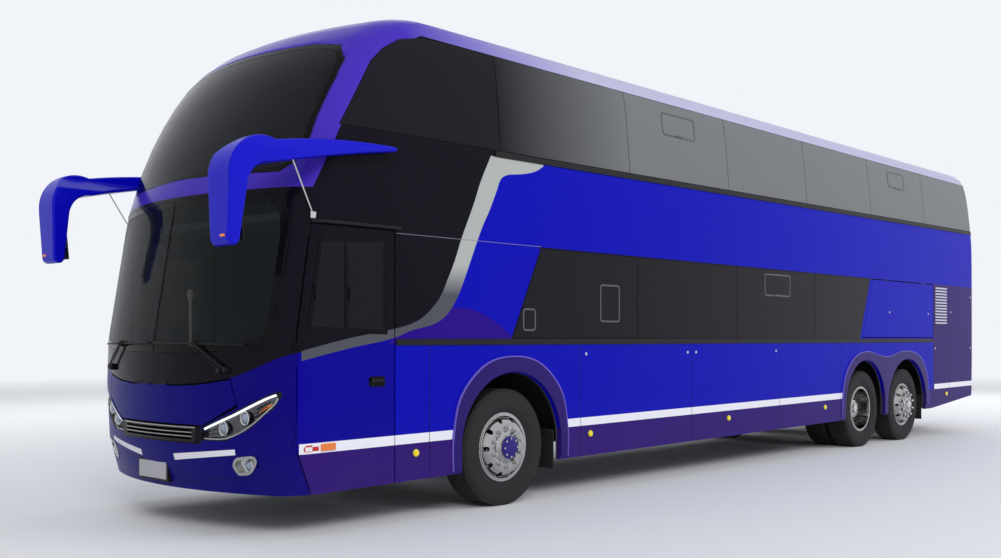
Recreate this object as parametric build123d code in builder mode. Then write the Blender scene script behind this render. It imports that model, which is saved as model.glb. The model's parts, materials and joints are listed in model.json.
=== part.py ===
"""Double-deck coach on three axles: chassis, body shell, doors, lids, wheels and cabin.

Millimetres. X runs forward, Y to the driver's side and Z up from the ground.
The origin lies under the middle of the whole vehicle, mirrors included.
"""
from build123d import *
import math
import os

os.makedirs("parts", exist_ok=True)

# ---------------------------------------------------------------- driving dimensions
nose_x = 6760.0            # foremost skin of the front, on the centre line
rear_x = -7000.0           # rearmost skin
half_width = 1300.0        # body skin on the sides, from the centre line
roof_z = 4080.0            # top of the roof
wall = 50.0                # body wall: skin, frame tube and lining
pane = 8.0                 # bonded glass
shut_gap = 12.0            # gap round doors and lids
seam = 8.0                 # rubber joint between two panes
seat_gap = 0.3             # running clearance beside a fixed piece
front_axle_x = 4130.0
drive_axle_x = front_axle_x - 7050.0
tag_axle_x = drive_axle_x - 1350.0
front_radius = 3000.0      # plan curve of the nose
corner_radius = 300.0      # plan curve of the front corners
rear_corner = 180.0
inner_half = half_width - wall

# Heights that panels share
skirt_z = 300.0
bumper_top_z = 660.0
lid_bottom_z = 800.0
lid_top_z = 1095.0
belt_z = 1450.0
lower_glass_top = 2245.0
door_top = 2280.0
upper_sill = 3030.0
gutter_z = roof_z - 180.0
shoulder_z = roof_z - 1180.0
cap_x = front_axle_x + 100.0       # joint between the front cap and the long walls
lower_floor_top = 550.0
floor_thick = 50.0
upper_floor_bottom = 2380.0
upper_floor_top = 2440.0

# Body levels below the shoulder: height, nose setback, side tuck, rear setback
LOWER_LEVELS = [
    (skirt_z, 110, 0, 60),
    (620, 22, 0, 15),
    (1080, 0, 0, 0),
    (1420, 10, 0, 0),
    (2500, 195, 0, 5),
    (shoulder_z, 330, 0, 20),
]
# The same columns above the shoulder, where the skin curves over into the roof
UPPER_LEVELS = [
    (shoulder_z, 330, 0, 20),
    (roof_z - 980, 415, 10, 28),
    (roof_z - 780, 518, 25, 40),
    (roof_z - 590, 633, 42, 53),
    (roof_z - 430, 752, 58, 70),
    (roof_z - 300, 875, 76, 92),
    (roof_z - 200, 1005, 96, 122),
    (roof_z - 120, 1160, 128, 170),
    (roof_z - 60, 1340, 185, 250),
    (roof_z - 20, 1600, 275, 370),
    (roof_z, 1930, 400, 600),
]


def plan_face(height, nose_setback, tuck, rear_setback, inset):
    """Plan outline of the body at one height, moved inward by inset."""
    half = half_width - tuck - inset
    nose = nose_x - nose_setback - inset
    rear = rear_x + rear_setback + inset
    front_r = front_radius - inset
    corner_r = corner_radius - inset
    rear_r = rear_corner - inset
    nose_centre = nose - front_r
    corner_y = half - corner_r
    lean = math.asin(corner_y / (front_r - corner_r))
    corner_x = nose_centre + (front_r - corner_r) * math.cos(lean)
    meet = (nose_centre + front_r * math.cos(lean), front_r * math.sin(lean))
    bend = (lean + math.pi / 2) / 2
    knuckle_x = corner_x + corner_r * math.cos(bend)
    knuckle_y = corner_y + corner_r * math.sin(bend)
    diagonal = rear_r * (1 - math.sqrt(0.5))
    with BuildSketch(Plane.XY.offset(height)) as outline:
        with BuildLine():
            Line((rear + rear_r, half), (corner_x, half))
            ThreePointArc((corner_x, half), (knuckle_x, knuckle_y), meet)
            ThreePointArc(meet, (nose, 0), (meet[0], -meet[1]))
            ThreePointArc((meet[0], -meet[1]), (knuckle_x, -knuckle_y), (corner_x, -half))
            Line((corner_x, -half), (rear + rear_r, -half))
            ThreePointArc((rear + rear_r, -half), (rear + diagonal, diagonal - half), (rear, rear_r - half))
            Line((rear, rear_r - half), (rear, half - rear_r))
            ThreePointArc((rear, half - rear_r), (rear + diagonal, half - diagonal), (rear + rear_r, half))
        make_face()
    return outline.sketch.face()


def body_solid(inset):
    """Whole body as a solid, inset from the skin; its roof comes down by the same inset."""
    rise = roof_z - shoulder_z
    lower = [plan_face(z - (inset if z == skirt_z else 0), n, t, r, inset) for z, n, t, r in LOWER_LEVELS]
    upper = [plan_face(z - inset * (z - shoulder_z) / rise, n, t, r, inset) for z, n, t, r in UPPER_LEVELS]
    with BuildPart() as solid:
        loft(sections=lower, ruled=True)
        loft(sections=upper, ruled=True)
    return solid.part


def side_prism(outlines, y_from, y_to, grow=0.0):
    """Outlines in the side view, as (x, z) points, run across the coach from one Y to another."""
    with BuildPart() as prism:
        with BuildSketch(Plane(origin=(0, y_from, 0), x_dir=(1, 0, 0), z_dir=(0, -1, 0))):
            for points in outlines:
                with BuildLine():
                    Polyline(*points, close=True)
                make_face()
            if grow:
                offset(amount=grow, kind=Kind.INTERSECTION)
        extrude(amount=y_from - y_to)
    return prism.part


def front_prism(outlines, x_from, x_to, grow=0.0):
    """Outlines in the front view, as (y, z) points, run along the coach from one X to another."""
    with BuildPart() as prism:
        with BuildSketch(Plane(origin=(x_from, 0, 0), x_dir=(0, 1, 0), z_dir=(1, 0, 0))):
            for points in outlines:
                with BuildLine():
                    Polyline(*points, close=True)
                make_face()
            if grow:
                offset(amount=grow, kind=Kind.INTERSECTION)
        extrude(amount=x_to - x_from)
    return prism.part


def block(x0, x1, y0, y1, z0, z1):
    """Plain box between two corners."""
    with BuildPart() as solid:
        with Locations(((x0 + x1) / 2, (y0 + y1) / 2, (z0 + z1) / 2)):
            Box(x1 - x0, y1 - y0, z1 - z0)
    return solid.part


def common(shape, region):
    """What a layer and a region share."""
    with BuildPart() as solid:
        add(shape)
        add(region, mode=Mode.INTERSECT)
    return solid.part


def without(shape, *tools):
    """A shape with tools cut away."""
    with BuildPart() as solid:
        add(shape)
        add(tools, mode=Mode.SUBTRACT, clean=False)
    return solid.part


def joined(*shapes):
    """Shapes fused into one."""
    with BuildPart() as solid:
        add(shapes, clean=False)
    return solid.part


def apart(*shapes):
    """Solids that don't touch, gathered as one piece."""
    return Compound([solid for shape in shapes for solid in shape.solids()])


def kerb_side(shape):
    """The mirror image alone."""
    with BuildPart() as solid:
        mirror(shape, about=Plane.XZ)
    return solid.part


def both_sides(shape):
    """A shape off the centre plane with its mirror image, as separate solids."""
    return apart(shape, kerb_side(shape))


def save(shape, name):
    """Label a finished piece and write its file."""
    shape.label = name
    export_step(shape, f"parts/{name}.step")


# ---------------------------------------------------------------- hinge knuckles
knuckle_r = 5.0
pin_r = 2.5
pin_clear = 0.4
knuckle_long = 60.0
knuckle_space = 0.5


def knuckle(plane, start, reach):
    """One barrel on a hinge axis, with a web that reaches into the panel beside it."""
    with BuildPart() as barrel:
        with BuildSketch(plane.offset(start)):
            Circle(knuckle_r)
            with Locations((reach / 2, -4.5)):
                Rectangle(abs(reach), 7)
        extrude(amount=knuckle_long)
    return barrel.part


def hinge_frame_side(plane):
    """Two barrels and their pin, fast on the body."""
    pitch = knuckle_long + knuckle_space
    with BuildPart() as fast:
        add(knuckle(plane, -pitch - knuckle_long / 2, 26))
        add(knuckle(plane, pitch - knuckle_long / 2, 26))
        with BuildSketch(plane.offset(-pitch - knuckle_long / 2)):
            Circle(pin_r)
        extrude(amount=2 * pitch + knuckle_long)
    return fast.part


def hinge_leaf_side(plane):
    """The middle barrel, bored for the pin, on the moving panel."""
    with BuildPart() as loose:
        add(knuckle(plane, -knuckle_long / 2, -26))
        with BuildSketch(plane.offset(-knuckle_long / 2 - 1)):
            Circle(pin_r + pin_clear)
        extrude(amount=knuckle_long + 2, mode=Mode.SUBTRACT)
    return loose.part


# ---------------------------------------------------------------- outlines in the side view
def behind(distance):
    """X of a place given by its distance behind the front axle."""
    return front_axle_x - distance


def sill(x):
    """The upper sill drops a little towards the front."""
    return upper_sill + (nose_x - x) * 0.0095


upper_glass_top = gutter_z - 20.0
upper_rear_edge = rear_x + 70.0
LOWER_SEAMS = [behind(1900), behind(3780), behind(5630)]
UPPER_SEAMS = [cap_x - 10, behind(1780), behind(3630), behind(5450), behind(7280), behind(9100), upper_rear_edge]

half_seam = seam / 2
lower_front = [(behind(60), belt_z), (behind(440), lower_glass_top)]
lower_rear = [(behind(7210), lower_glass_top), (behind(6900), belt_z)]
LOWER_PANES = [
    [lower_front[0], lower_front[1], (LOWER_SEAMS[0] + half_seam, lower_glass_top), (LOWER_SEAMS[0] + half_seam, belt_z)],
    *[[(a - half_seam, belt_z), (a - half_seam, lower_glass_top), (b + half_seam, lower_glass_top), (b + half_seam, belt_z)]
      for a, b in zip(LOWER_SEAMS, LOWER_SEAMS[1:])],
    [(LOWER_SEAMS[2] - half_seam, belt_z), (LOWER_SEAMS[2] - half_seam, lower_glass_top), *lower_rear],
]
UPPER_PANES = [
    [(a - half_seam, sill(a)), (a - half_seam, upper_glass_top), (b + half_seam, upper_glass_top), (b + half_seam, sill(b))]
    for a, b in zip(UPPER_SEAMS, UPPER_SEAMS[1:])
]
QUARTER_PANE = [
    (cap_x + half_seam - 10, sill(cap_x)), (cap_x + half_seam - 10, upper_glass_top),
    (front_axle_x + 900, upper_glass_top - 10), (front_axle_x + 1180, upper_glass_top - 75),
    (front_axle_x + 1360, upper_glass_top - 180), (front_axle_x + 1500, upper_glass_top - 310),
    (front_axle_x + 1830, sill(front_axle_x + 1830)),
]
door_rear = front_axle_x + 1300
door_front = front_axle_x + 2220
DOOR = [
    (door_rear, skirt_z - 60), (front_axle_x + 2070, skirt_z - 60), (door_front, 640), (door_front, 1460),
    (front_axle_x + 2090, door_top), (door_rear, door_top),
]
DOOR_PANE = [
    (door_rear + 75, belt_z + 25), (door_front - 75, belt_z + 45),
    (front_axle_x + 2030, door_top - 95), (door_rear + 75, door_top - 60),
]
LUGGAGE_DOOR = [
    (behind(6985), belt_z + 10), (behind(7300), lower_glass_top + 5),
    (behind(9385), lower_glass_top + 5), (behind(9385), belt_z + 10),
]

# Underside of the skirt, rising towards the tail
SKIRT_CUT = [
    (nose_x + 50, skirt_z - 80), (nose_x + 50, skirt_z + 5), (front_axle_x, skirt_z + 40), (tag_axle_x - 950, skirt_z + 110),
    (rear_x - 50, skirt_z + 260), (rear_x - 50, skirt_z - 80),
]

tyre_r = 505.0
wheel_z = tyre_r
arch_clear = 60.0
arch_shift = 65.0          # the arches sit a little behind the axles
arch_rise = 1150.0


def arch_prism(axle_x, ahead, astern, y_from, y_to, rise=arch_rise):
    """Wheel arch opening: upright flanks under one arc."""
    flank = wheel_z + 100
    with BuildPart() as opening:
        with BuildSketch(Plane(origin=(0, y_from, 0), x_dir=(1, 0, 0), z_dir=(0, -1, 0))):
            with BuildLine():
                Polyline(
                    (axle_x - astern, flank), (axle_x - astern, skirt_z - 120),
                    (axle_x + ahead, skirt_z - 120), (axle_x + ahead, flank),
                )
                ThreePointArc((axle_x + ahead, flank), (axle_x - arch_shift, rise), (axle_x - astern, flank))
            make_face()
        extrude(amount=y_from - y_to)
    return opening.part


front_ahead = tyre_r + arch_clear
front_astern = tyre_r + arch_clear + 2 * arch_shift
axle_gap = drive_axle_x - tag_axle_x
inner_flank = axle_gap / 2 - 60          # a narrow panel stays between the two rear wheels
beyond = half_width + 200
arches = [
    arch_prism(front_axle_x, front_ahead, front_astern, beyond, inner_half - 40),
    arch_prism(drive_axle_x, front_ahead, inner_flank, beyond, inner_half - 40),
    arch_prism(tag_axle_x, inner_flank, front_astern, beyond, inner_half - 40),
]

# ---------------------------------------------------------------- layers of the shell
outer = body_solid(0)
core = body_solid(wall)
glass_core = body_solid(pane)
skin = without(outer, core, side_prism([SKIRT_CUT], beyond, -beyond), *arches, *[kerb_side(arch) for arch in arches])
glass = without(outer, glass_core)

# Long walls: everything behind the door and the front cap, below the roof
tail_x = rear_x + rear_corner + 20
cut_low = skirt_z - 200
LONG_WALL = [
    (tail_x, cut_low), (tail_x, gutter_z), (cap_x, gutter_z), (cap_x, door_top + shut_gap / 2),
    (door_rear - shut_gap / 2, door_top + shut_gap / 2), (door_rear - shut_gap / 2, cut_low),
]
LONG_PANES = LOWER_PANES + UPPER_PANES
SIDE_PANES = LONG_PANES + [QUARTER_PANE]
bond = 40.0                # how far a pane laps over the wall that it is bonded to
glazed_y = half_width - 160        # deep enough for the leaning upper walls
clear_depth = 400.0


def rebate(outlines):
    """Outer layer to cut from a wall so that its panes lie flush."""
    return without(side_prism(outlines, beyond, glazed_y - clear_depth, half_seam - 0.2), glass_core)



def end_pane_cuts(outline):
    """Aperture and rebate, on both sides, of a pane that laps onto the front cap or the tail."""
    through = side_prism([outline], beyond, glazed_y - clear_depth, -bond)
    seat = rebate([outline])
    return [through, seat, kerb_side(through), kerb_side(seat)]


wall_raw = common(skin, side_prism([LONG_WALL], beyond, glazed_y - 200))
long_wall = without(
    wall_raw,
    side_prism(LONG_PANES, beyond, glazed_y - clear_depth, -bond),
    rebate(SIDE_PANES),
    side_prism([LUGGAGE_DOOR], beyond, glazed_y, shut_gap / 2),
)
luggage_leaf = common(skin, side_prism([LUGGAGE_DOOR], beyond, glazed_y, -shut_gap / 2))
luggage_hinge_z = lower_glass_top + 5
luggage_hinges = [behind(7700), behind(9000)]


def luggage_plane(x):
    """Hinge plane of the luggage door: its own X points up to the body, its Y outward."""
    return Plane(origin=(x, half_width, luggage_hinge_z), x_dir=(0, 0, 1), z_dir=(-1, 0, 0))


long_wall = joined(long_wall, *[hinge_frame_side(luggage_plane(x)) for x in luggage_hinges])
luggage_leaf = joined(luggage_leaf, *[hinge_leaf_side(luggage_plane(x)) for x in luggage_hinges])
save(long_wall, "left_wall")
save(kerb_side(long_wall), "right_wall")
save(luggage_leaf, "left_luggage_door")
save(kerb_side(luggage_leaf), "right_luggage_door")

# ---------------------------------------------------------------- roof
# A centre panel between two side coves and a tail cove, which fold down to the gutter
cove_x = rear_x + 560
cove_y = 800.0
roof_skin = common(skin, block(rear_x - 10, cap_x, -beyond, beyond, gutter_z, roof_z + 50))
side_cove = common(roof_skin, block(rear_x - 10, cap_x, cove_y, beyond, gutter_z - 10, roof_z + 50))
tail_cove = common(roof_skin, block(rear_x - 10, cove_x, -cove_y, cove_y, gutter_z - 10, roof_z + 50))
save(common(roof_skin, block(cove_x, cap_x, -cove_y, cove_y, gutter_z - 10, roof_z + 50)), "roof")
save(apart(side_cove, kerb_side(side_cove), tail_cove), "roof_coves")

# ---------------------------------------------------------------- tail
REAR_PANE = [(-1020, 3120), (-960, upper_glass_top - 60), (960, upper_glass_top - 60), (1020, 3120)]
ENGINE_COVER = [(-1000, 720), (-1000, 2150), (1000, 2150), (1000, 720)]
TAIL_LAMP = [(1090, 980), (1090, 1620), (1190, 1620), (1190, 980)]
deep_tail = rear_x + 330
cover_hinge_z = ENGINE_COVER[1][1]
cover_hinges = [-600, 600]


def cover_plane(y):
    """Hinge plane of the engine cover at the tail: X up, Y outward to the rear."""
    return Plane(origin=(rear_x + 3, y, cover_hinge_z), x_dir=(0, 0, 1), z_dir=(0, -1, 0))


tail_lamp_side = common(skin, front_prism([TAIL_LAMP], rear_x - 20, deep_tail, -seat_gap))
tail_wall = without(
    common(skin, block(rear_x - 10, tail_x, -beyond, beyond, cut_low, gutter_z)),
    front_prism([REAR_PANE], rear_x - 20, deep_tail, -bond),
    without(front_prism([REAR_PANE], rear_x - 20, deep_tail, half_seam - 0.2), glass_core),
    front_prism([ENGINE_COVER], rear_x - 20, deep_tail, shut_gap / 2),
    both_sides(front_prism([TAIL_LAMP], rear_x - 20, deep_tail)),
    *end_pane_cuts(UPPER_PANES[-1]),
)
tail_wall = joined(tail_wall, *[hinge_frame_side(cover_plane(y)) for y in cover_hinges])
cover = common(skin, front_prism([ENGINE_COVER], rear_x - 20, deep_tail, -shut_gap / 2))
cover = joined(cover, *[hinge_leaf_side(cover_plane(y)) for y in cover_hinges])
save(tail_wall, "rear_wall")
save(cover, "engine_cover")
save(both_sides(tail_lamp_side), "tail_lamps")

# ---------------------------------------------------------------- front end
LOWER_SCREEN = [
    (0, 1335), (700, 1345), (1090, 1390), (1185, 1450), (1190, 2290), (1105, 2470), (1000, 2505), (0, 2515),
    (-1000, 2505), (-1105, 2470), (-1190, 2290), (-1185, 1450), (-1090, 1390), (-700, 1345),
]
UPPER_SCREEN = [
    (0, 2690), (1040, 2665), (1150, 2740), (1190, 2920), (1180, 3400), (1160, 3570), (1060, 3700), (800, 3745),
    (0, 3755), (-800, 3745), (-1060, 3700), (-1160, 3570), (-1180, 3400), (-1190, 2920), (-1150, 2740), (-1040, 2665),
]
LID_OPENING = [
    (-600, lid_bottom_z), (-925, lid_bottom_z + 150), (-870, lid_top_z + 55), (-600, lid_top_z + 17), (-330, lid_top_z),
    (330, lid_top_z), (600, lid_top_z + 17), (870, lid_top_z + 55), (925, lid_bottom_z + 150), (600, lid_bottom_z),
]
# The lid's lower corners are cut higher than the opening's, so that they clear it as the curved panel swings
FRONT_LID = [(y, z + (12 if abs(y) == 925 else 0)) for y, z in LID_OPENING]
HEADLAMP = [
    (560, 690), (585, 785), (880, 905), (1235, 1070), (1245, 1040), (1200, 940), (1020, 790), (820, 700),
]
FOG_LAMP = [(870, 580), (1080, 615), (1070, 520), (980, 450), (840, 440)]
GRILLE = [(-530, lid_bottom_z - 10), (530, lid_bottom_z - 10), (500, 675), (-500, 675)]
slot_high = 17.0
GRILLE_SLOTS = [[(-475, z), (475, z), (475, z + slot_high), (-475, z + slot_high)] for z in (694, 724, 754)]
deep_nose = front_axle_x + 1500
lamp_back_x = door_front + 12
front_view_x = nose_x + 50
LAMPS = [HEADLAMP, FOG_LAMP]
lid_hinges = [-120, 120]      # near the middle, where the curved nose comes out to the hinge axis


def lid_plane(y):
    """Hinge plane of the front lid: X up, Y outward ahead."""
    return Plane(origin=(nose_x - 2, y, lid_top_z), x_dir=(0, 0, 1), z_dir=(0, 1, 0))


lamp_cuts = both_sides(front_prism(LAMPS, lamp_back_x - 3, front_view_x))
screens_through = front_prism([LOWER_SCREEN, UPPER_SCREEN], deep_nose, front_view_x, -bond)
screens_rebate = without(front_prism([LOWER_SCREEN, UPPER_SCREEN], deep_nose, front_view_x, 2), glass_core)
door_opening = side_prism([DOOR], beyond, half_width - 250, shut_gap / 2)
FRONT_REGION = [
    (front_axle_x + 1200, cut_low), (front_axle_x + 1200, door_top + shut_gap / 2), (cap_x, door_top + shut_gap / 2),
    (cap_x, roof_z + 50), (front_view_x, roof_z + 50), (front_view_x, cut_low),
]
front_raw = without(
    common(skin, side_prism([FRONT_REGION], beyond, -beyond)),
    both_sides(door_opening),
    block(front_axle_x + 1200, door_rear, -beyond, beyond, cut_low, door_top + shut_gap / 2),
)
bumper_region = block(deep_nose, front_view_x, -beyond, beyond, cut_low, bumper_top_z)
bumper = without(common(front_raw, bumper_region), lamp_cuts)
front_shell = without(
    front_raw, bumper_region, lamp_cuts, screens_through, screens_rebate,
    *end_pane_cuts(QUARTER_PANE),
    front_prism([LID_OPENING], deep_nose, front_view_x, shut_gap / 2),
    front_prism([GRILLE], deep_nose, front_view_x, 0.5),
)
front_lid = common(glass, front_prism([FRONT_LID], deep_nose, front_view_x, -shut_gap / 2))
front_lid = joined(front_lid, *[hinge_leaf_side(lid_plane(y)) for y in lid_hinges])
lamps = both_sides(common(skin, front_prism(LAMPS, lamp_back_x, front_view_x, -seat_gap)))
grille = common(skin, without(front_prism([GRILLE], deep_nose, front_view_x), front_prism(GRILLE_SLOTS, deep_nose, front_view_x)))
lower_screen = common(glass, front_prism([LOWER_SCREEN], deep_nose, front_view_x))
upper_screen = common(glass, front_prism([UPPER_SCREEN], deep_nose, front_view_x))

# Driver's door, hinged on its front edge; the kerb-side leaf is its mirror image on swinging arms
door_leaf = without(
    common(skin, side_prism([DOOR], beyond, half_width - 250, -shut_gap / 2)),
    side_prism([DOOR_PANE], beyond, half_width - 250, -bond),
    without(side_prism([DOOR_PANE], beyond, half_width - 250, 2), glass_core),
)
door_pane = common(glass, side_prism([DOOR_PANE], beyond, half_width - 250))
door_hinge_y = half_width - 14
door_hinges = [760, 1330]


def door_plane(z):
    """Hinge plane of the driver's door: X ahead to the body, Y outward."""
    return Plane(origin=(door_front, door_hinge_y, z), x_dir=(1, 0, 0), z_dir=(0, 0, 1))


front_shell = joined(
    front_shell,
    *[hinge_frame_side(lid_plane(y)) for y in lid_hinges],
    *[hinge_frame_side(door_plane(z)) for z in door_hinges],
)
driver_door = joined(door_leaf, *[hinge_leaf_side(door_plane(z)) for z in door_hinges])

# Arms of the kerb-side door: a pole inside the front jamb swings two arms pinned to the leaf
pole_r = 18.0
pole_x = front_axle_x + 2030
pole_y = -(inner_half - 55)
arm_pin_x = front_axle_x + 1490
arm_pin_y = -(inner_half - 35)
arm_heights = [1000, 1360]
arm_deep = 30.0
arm_wide = 26.0
eye_r = 20.0
arm_pin_r = 8.0
pole_top = door_top + 65
arm_long = math.hypot(pole_x - arm_pin_x, pole_y - arm_pin_y)
arm_angle = math.degrees(math.atan2(arm_pin_y - pole_y, arm_pin_x - pole_x))
with BuildPart() as passenger_arm:
    with Locations((pole_x, pole_y, (lower_floor_top + pole_top) / 2)):
        Cylinder(pole_r, pole_top - lower_floor_top - 2 * seat_gap)
    for z in arm_heights:
        with BuildSketch(Plane.XY.offset(z - arm_deep / 2)):
            with Locations(Location((pole_x, pole_y), arm_angle)):
                with Locations((arm_long / 2, 0)):
                    Rectangle(arm_long, arm_wide)
            with Locations((arm_pin_x, arm_pin_y)):
                Circle(eye_r)
        extrude(amount=arm_deep)
        with Locations((arm_pin_x, arm_pin_y, z)):
            Cylinder(arm_pin_r + pin_clear, arm_deep + 2, mode=Mode.SUBTRACT)

with BuildPart() as leaf_lugs:
    for z in arm_heights:
        for up in (-1, 1):
            with Locations((arm_pin_x, -(inner_half - 28), z + up * (arm_deep / 2 + seat_gap + 7))):
                Box(44, 66, 14)
        with Locations((arm_pin_x, arm_pin_y, z)):
            Cylinder(arm_pin_r, arm_deep + 20)
passenger_door = joined(kerb_side(door_leaf), leaf_lugs.part)

header_lug = without(
    block(pole_x - 35, pole_x + 35, -(inner_half + 12), pole_y + 30, door_top + 22, pole_top - 5),
    block(pole_x - 40, pole_x + 40, -beyond, -(half_width - 12), door_top, pole_top + 50),
)
with BuildPart() as pole_bearing:
    add(header_lug)
    with Locations((pole_x, pole_y, pole_top)):
        Cylinder(pole_r + pin_clear, 200, mode=Mode.SUBTRACT)
front_shell = joined(front_shell, common(pole_bearing.part, outer))

save(bumper, "front_bumper")
save(front_shell, "front_shell")
save(front_lid, "front_lid")
save(lamps, "front_lamps")
save(grille, "grille")
save(lower_screen, "lower_windscreen")
save(upper_screen, "upper_windscreen")
save(driver_door, "driver_door")
save(door_pane, "driver_door_window")
save(passenger_door, "passenger_door")
save(kerb_side(door_pane), "passenger_door_window")
save(passenger_arm.part, "passenger_door_arm")

# Side and rear panes, bonded flush
side_panes = common(glass, side_prism(SIDE_PANES, beyond, glazed_y - clear_depth))
rear_pane = common(glass, front_prism([REAR_PANE], rear_x - 20, deep_tail))
save(apart(side_panes, kerb_side(side_panes), rear_pane), "fixed_windows")

# ---------------------------------------------------------------- mirrors and wipers
mirror_tip_x = -rear_x              # the mirrors reach as far ahead of the origin as the tail behind
arm_inner_y = half_width
arm_outer_y = half_width + 105
head_outer_y = half_width + 130
head_inner_y = head_outer_y - 275
head_bottom = 2070.0
head_deep = 150.0
arm_tail = (front_axle_x + 1170, 2900)
arm_mid = (front_axle_x + 2480, 2820)
head_back = (mirror_tip_x - head_deep, 2500)
with BuildPart() as mirror_unit:
    # Side view: a horn that leaves the body at the roof of the cab, sweeps ahead and hangs down
    with BuildSketch(Plane(origin=(0, arm_inner_y - 200, 0), x_dir=(1, 0, 0), z_dir=(0, -1, 0))):
        with BuildLine():
            ThreePointArc(arm_tail, (front_axle_x + 1900, 2893), arm_mid)
            ThreePointArc(arm_mid, (mirror_tip_x - 70, 2735), (mirror_tip_x, 2540))
            Line((mirror_tip_x, 2540), (mirror_tip_x - 12, head_bottom + 50))
            ThreePointArc((mirror_tip_x - 12, head_bottom + 50), (mirror_tip_x - 60, head_bottom), (mirror_tip_x - 112, head_bottom + 45))
            Line((mirror_tip_x - 112, head_bottom + 45), head_back)
            ThreePointArc(head_back, (mirror_tip_x - head_deep - 45, 2590), (front_axle_x + 2520, 2655))
            ThreePointArc((front_axle_x + 2520, 2655), (front_axle_x + 1950, 2775), arm_tail)
        make_face()
    extrude(amount=-400)
    # Front view: the arm runs beside the body and the head hangs back in line with the glass
    with BuildSketch(Plane(origin=(mirror_tip_x + 10, 0, 0), x_dir=(0, 1, 0), z_dir=(1, 0, 0))):
        with BuildLine():
            Polyline(
                (arm_inner_y, 2950), (arm_inner_y, 2790), (head_inner_y + 10, 2700), (head_inner_y, 2560),
                (head_inner_y + 15, head_bottom - 10), (head_outer_y - 45, head_bottom - 10), (head_outer_y, 2500),
                (head_outer_y - 5, 2760), (arm_outer_y, 2880), (arm_outer_y, 2950), close=True,
            )
        make_face()
    extrude(amount=-(mirror_tip_x + 10 - front_axle_x), mode=Mode.INTERSECT)
    fillet(mirror_unit.edges().filter_by(lambda edge: edge.length > 60), 18)
save(both_sides(mirror_unit.part), "mirrors")

wiper_z = belt_z + 15
wiper_arc = nose_x - 10 - front_radius


def wiper(y_from, y_to, pivot_y):
    """A parked blade that follows the curve of the glass, with its arm and pivot."""
    sweep_r = front_radius + 14
    start = math.degrees(math.asin(y_from / sweep_r))
    turn = math.degrees(math.asin(y_to / sweep_r)) - start
    pivot_z = belt_z - 75
    skin_x = wiper_arc + math.sqrt(front_radius**2 - pivot_y**2)
    with BuildPart() as unit:
        with BuildSketch(Plane.XY.offset(wiper_z)):
            with BuildLine():
                outer_arc = CenterArc((wiper_arc, 0), sweep_r + 10, start, turn)
                inner_arc = CenterArc((wiper_arc, 0), sweep_r - 8, start, turn)
                Line(outer_arc @ 0, inner_arc @ 0)
                Line(outer_arc @ 1, inner_arc @ 1)
            make_face()
        extrude(amount=18)
        with Locations((skin_x + 18, pivot_y, (pivot_z + wiper_z + 18) / 2)):
            Box(16, 26, wiper_z + 18 - pivot_z + 20)
        with BuildSketch(Plane(origin=(skin_x - 20, pivot_y, pivot_z), x_dir=(0, 1, 0), z_dir=(1, 0, 0))):
            Circle(20)
        extrude(amount=44)
    return without(unit.part, outer)


save(apart(wiper(60, 960, 520), wiper(-960, -60, -520)), "wipers")

# ---------------------------------------------------------------- chassis
rail_y = 450.0
rail_wide = 80.0
rail_low = 400.0
rail_low_top = 500.0
rail_high = 800.0
rail_high_top = 1000.0
rise_from = drive_axle_x + 620
rise_to = drive_axle_x + 300
frame_joint = rise_from + 60
FRONT_RAIL = [
    (front_axle_x + 2100, rail_low), (front_axle_x + 2100, rail_low_top),
    (frame_joint, rail_low_top), (frame_joint, rail_low),
]
REAR_RAIL = [
    (frame_joint, rail_low_top), (rise_from, rail_low_top), (rise_to, rail_high_top), (rear_x + 150, rail_high_top),
    (rear_x + 150, rail_high), (rise_to + 60, rail_high), (frame_joint, rail_low),
]
bay_floor_bottom = 1250.0
bay_floor_top = 1290.0
bearer_wide = 80.0
tow_x = front_axle_x + 2190
tow_y = rail_y + rail_wide / 2
tow_z = (rail_low + rail_low_top) / 2
tow_eye_r = 22.0
tow_thick = 40.0


def both_rails(outline):
    """A side outline as the two frame rails."""
    return [side_prism([outline], rail_y + rail_wide, rail_y), side_prism([outline], -rail_y, -rail_y - rail_wide)]


with BuildPart() as chassis:
    add(both_rails(FRONT_RAIL))
    for x in (front_axle_x + 1500, front_axle_x - 900, front_axle_x - 2600, front_axle_x - 4300, rise_from + 200):
        with Locations((x, 0, tow_z)):
            Box(60, 2 * rail_y + 20, 70)
    # Level towing plate at the front of each rail, with an upright eye open from below
    for side in (-1, 1):
        tow_back = front_axle_x + 2050
        with BuildSketch(Plane.XY.offset(tow_z - tow_thick / 2)):
            with Locations(((tow_back + tow_x) / 2, side * tow_y)):
                Rectangle(tow_x - tow_back, 120)
            with Locations((tow_x, side * tow_y)):
                Circle(60)
        extrude(amount=tow_thick)
        with Locations((tow_x, side * tow_y, tow_z)):
            Cylinder(tow_eye_r, tow_thick + 2, mode=Mode.SUBTRACT)
save(chassis.part, "chassis_frame")

with BuildPart() as rear_frame:
    add(both_rails(REAR_RAIL))
    for x in (drive_axle_x + 150, (drive_axle_x + tag_axle_x) / 2 - 30, tag_axle_x - 850):
        with Locations((x, 0, (rail_high_top + bay_floor_bottom) / 2)):
            Box(bearer_wide, 2 * (rail_y + rail_wide), bay_floor_bottom - rail_high_top)
save(rear_frame.part, "rear_frame")

engine_front = behind(9880)
engine_rear = behind(10950)
save(block(engine_rear, engine_front, -rail_y, rail_y, 480, 1480), "engine")

# ---------------------------------------------------------------- wheel housings
sheet = 8.0
housing_y = 575.0          # inner face of the housings, clear of the steered tyre at full lock
front_housing_rise = 1165.0
rear_housing_top = 1200.0


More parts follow.
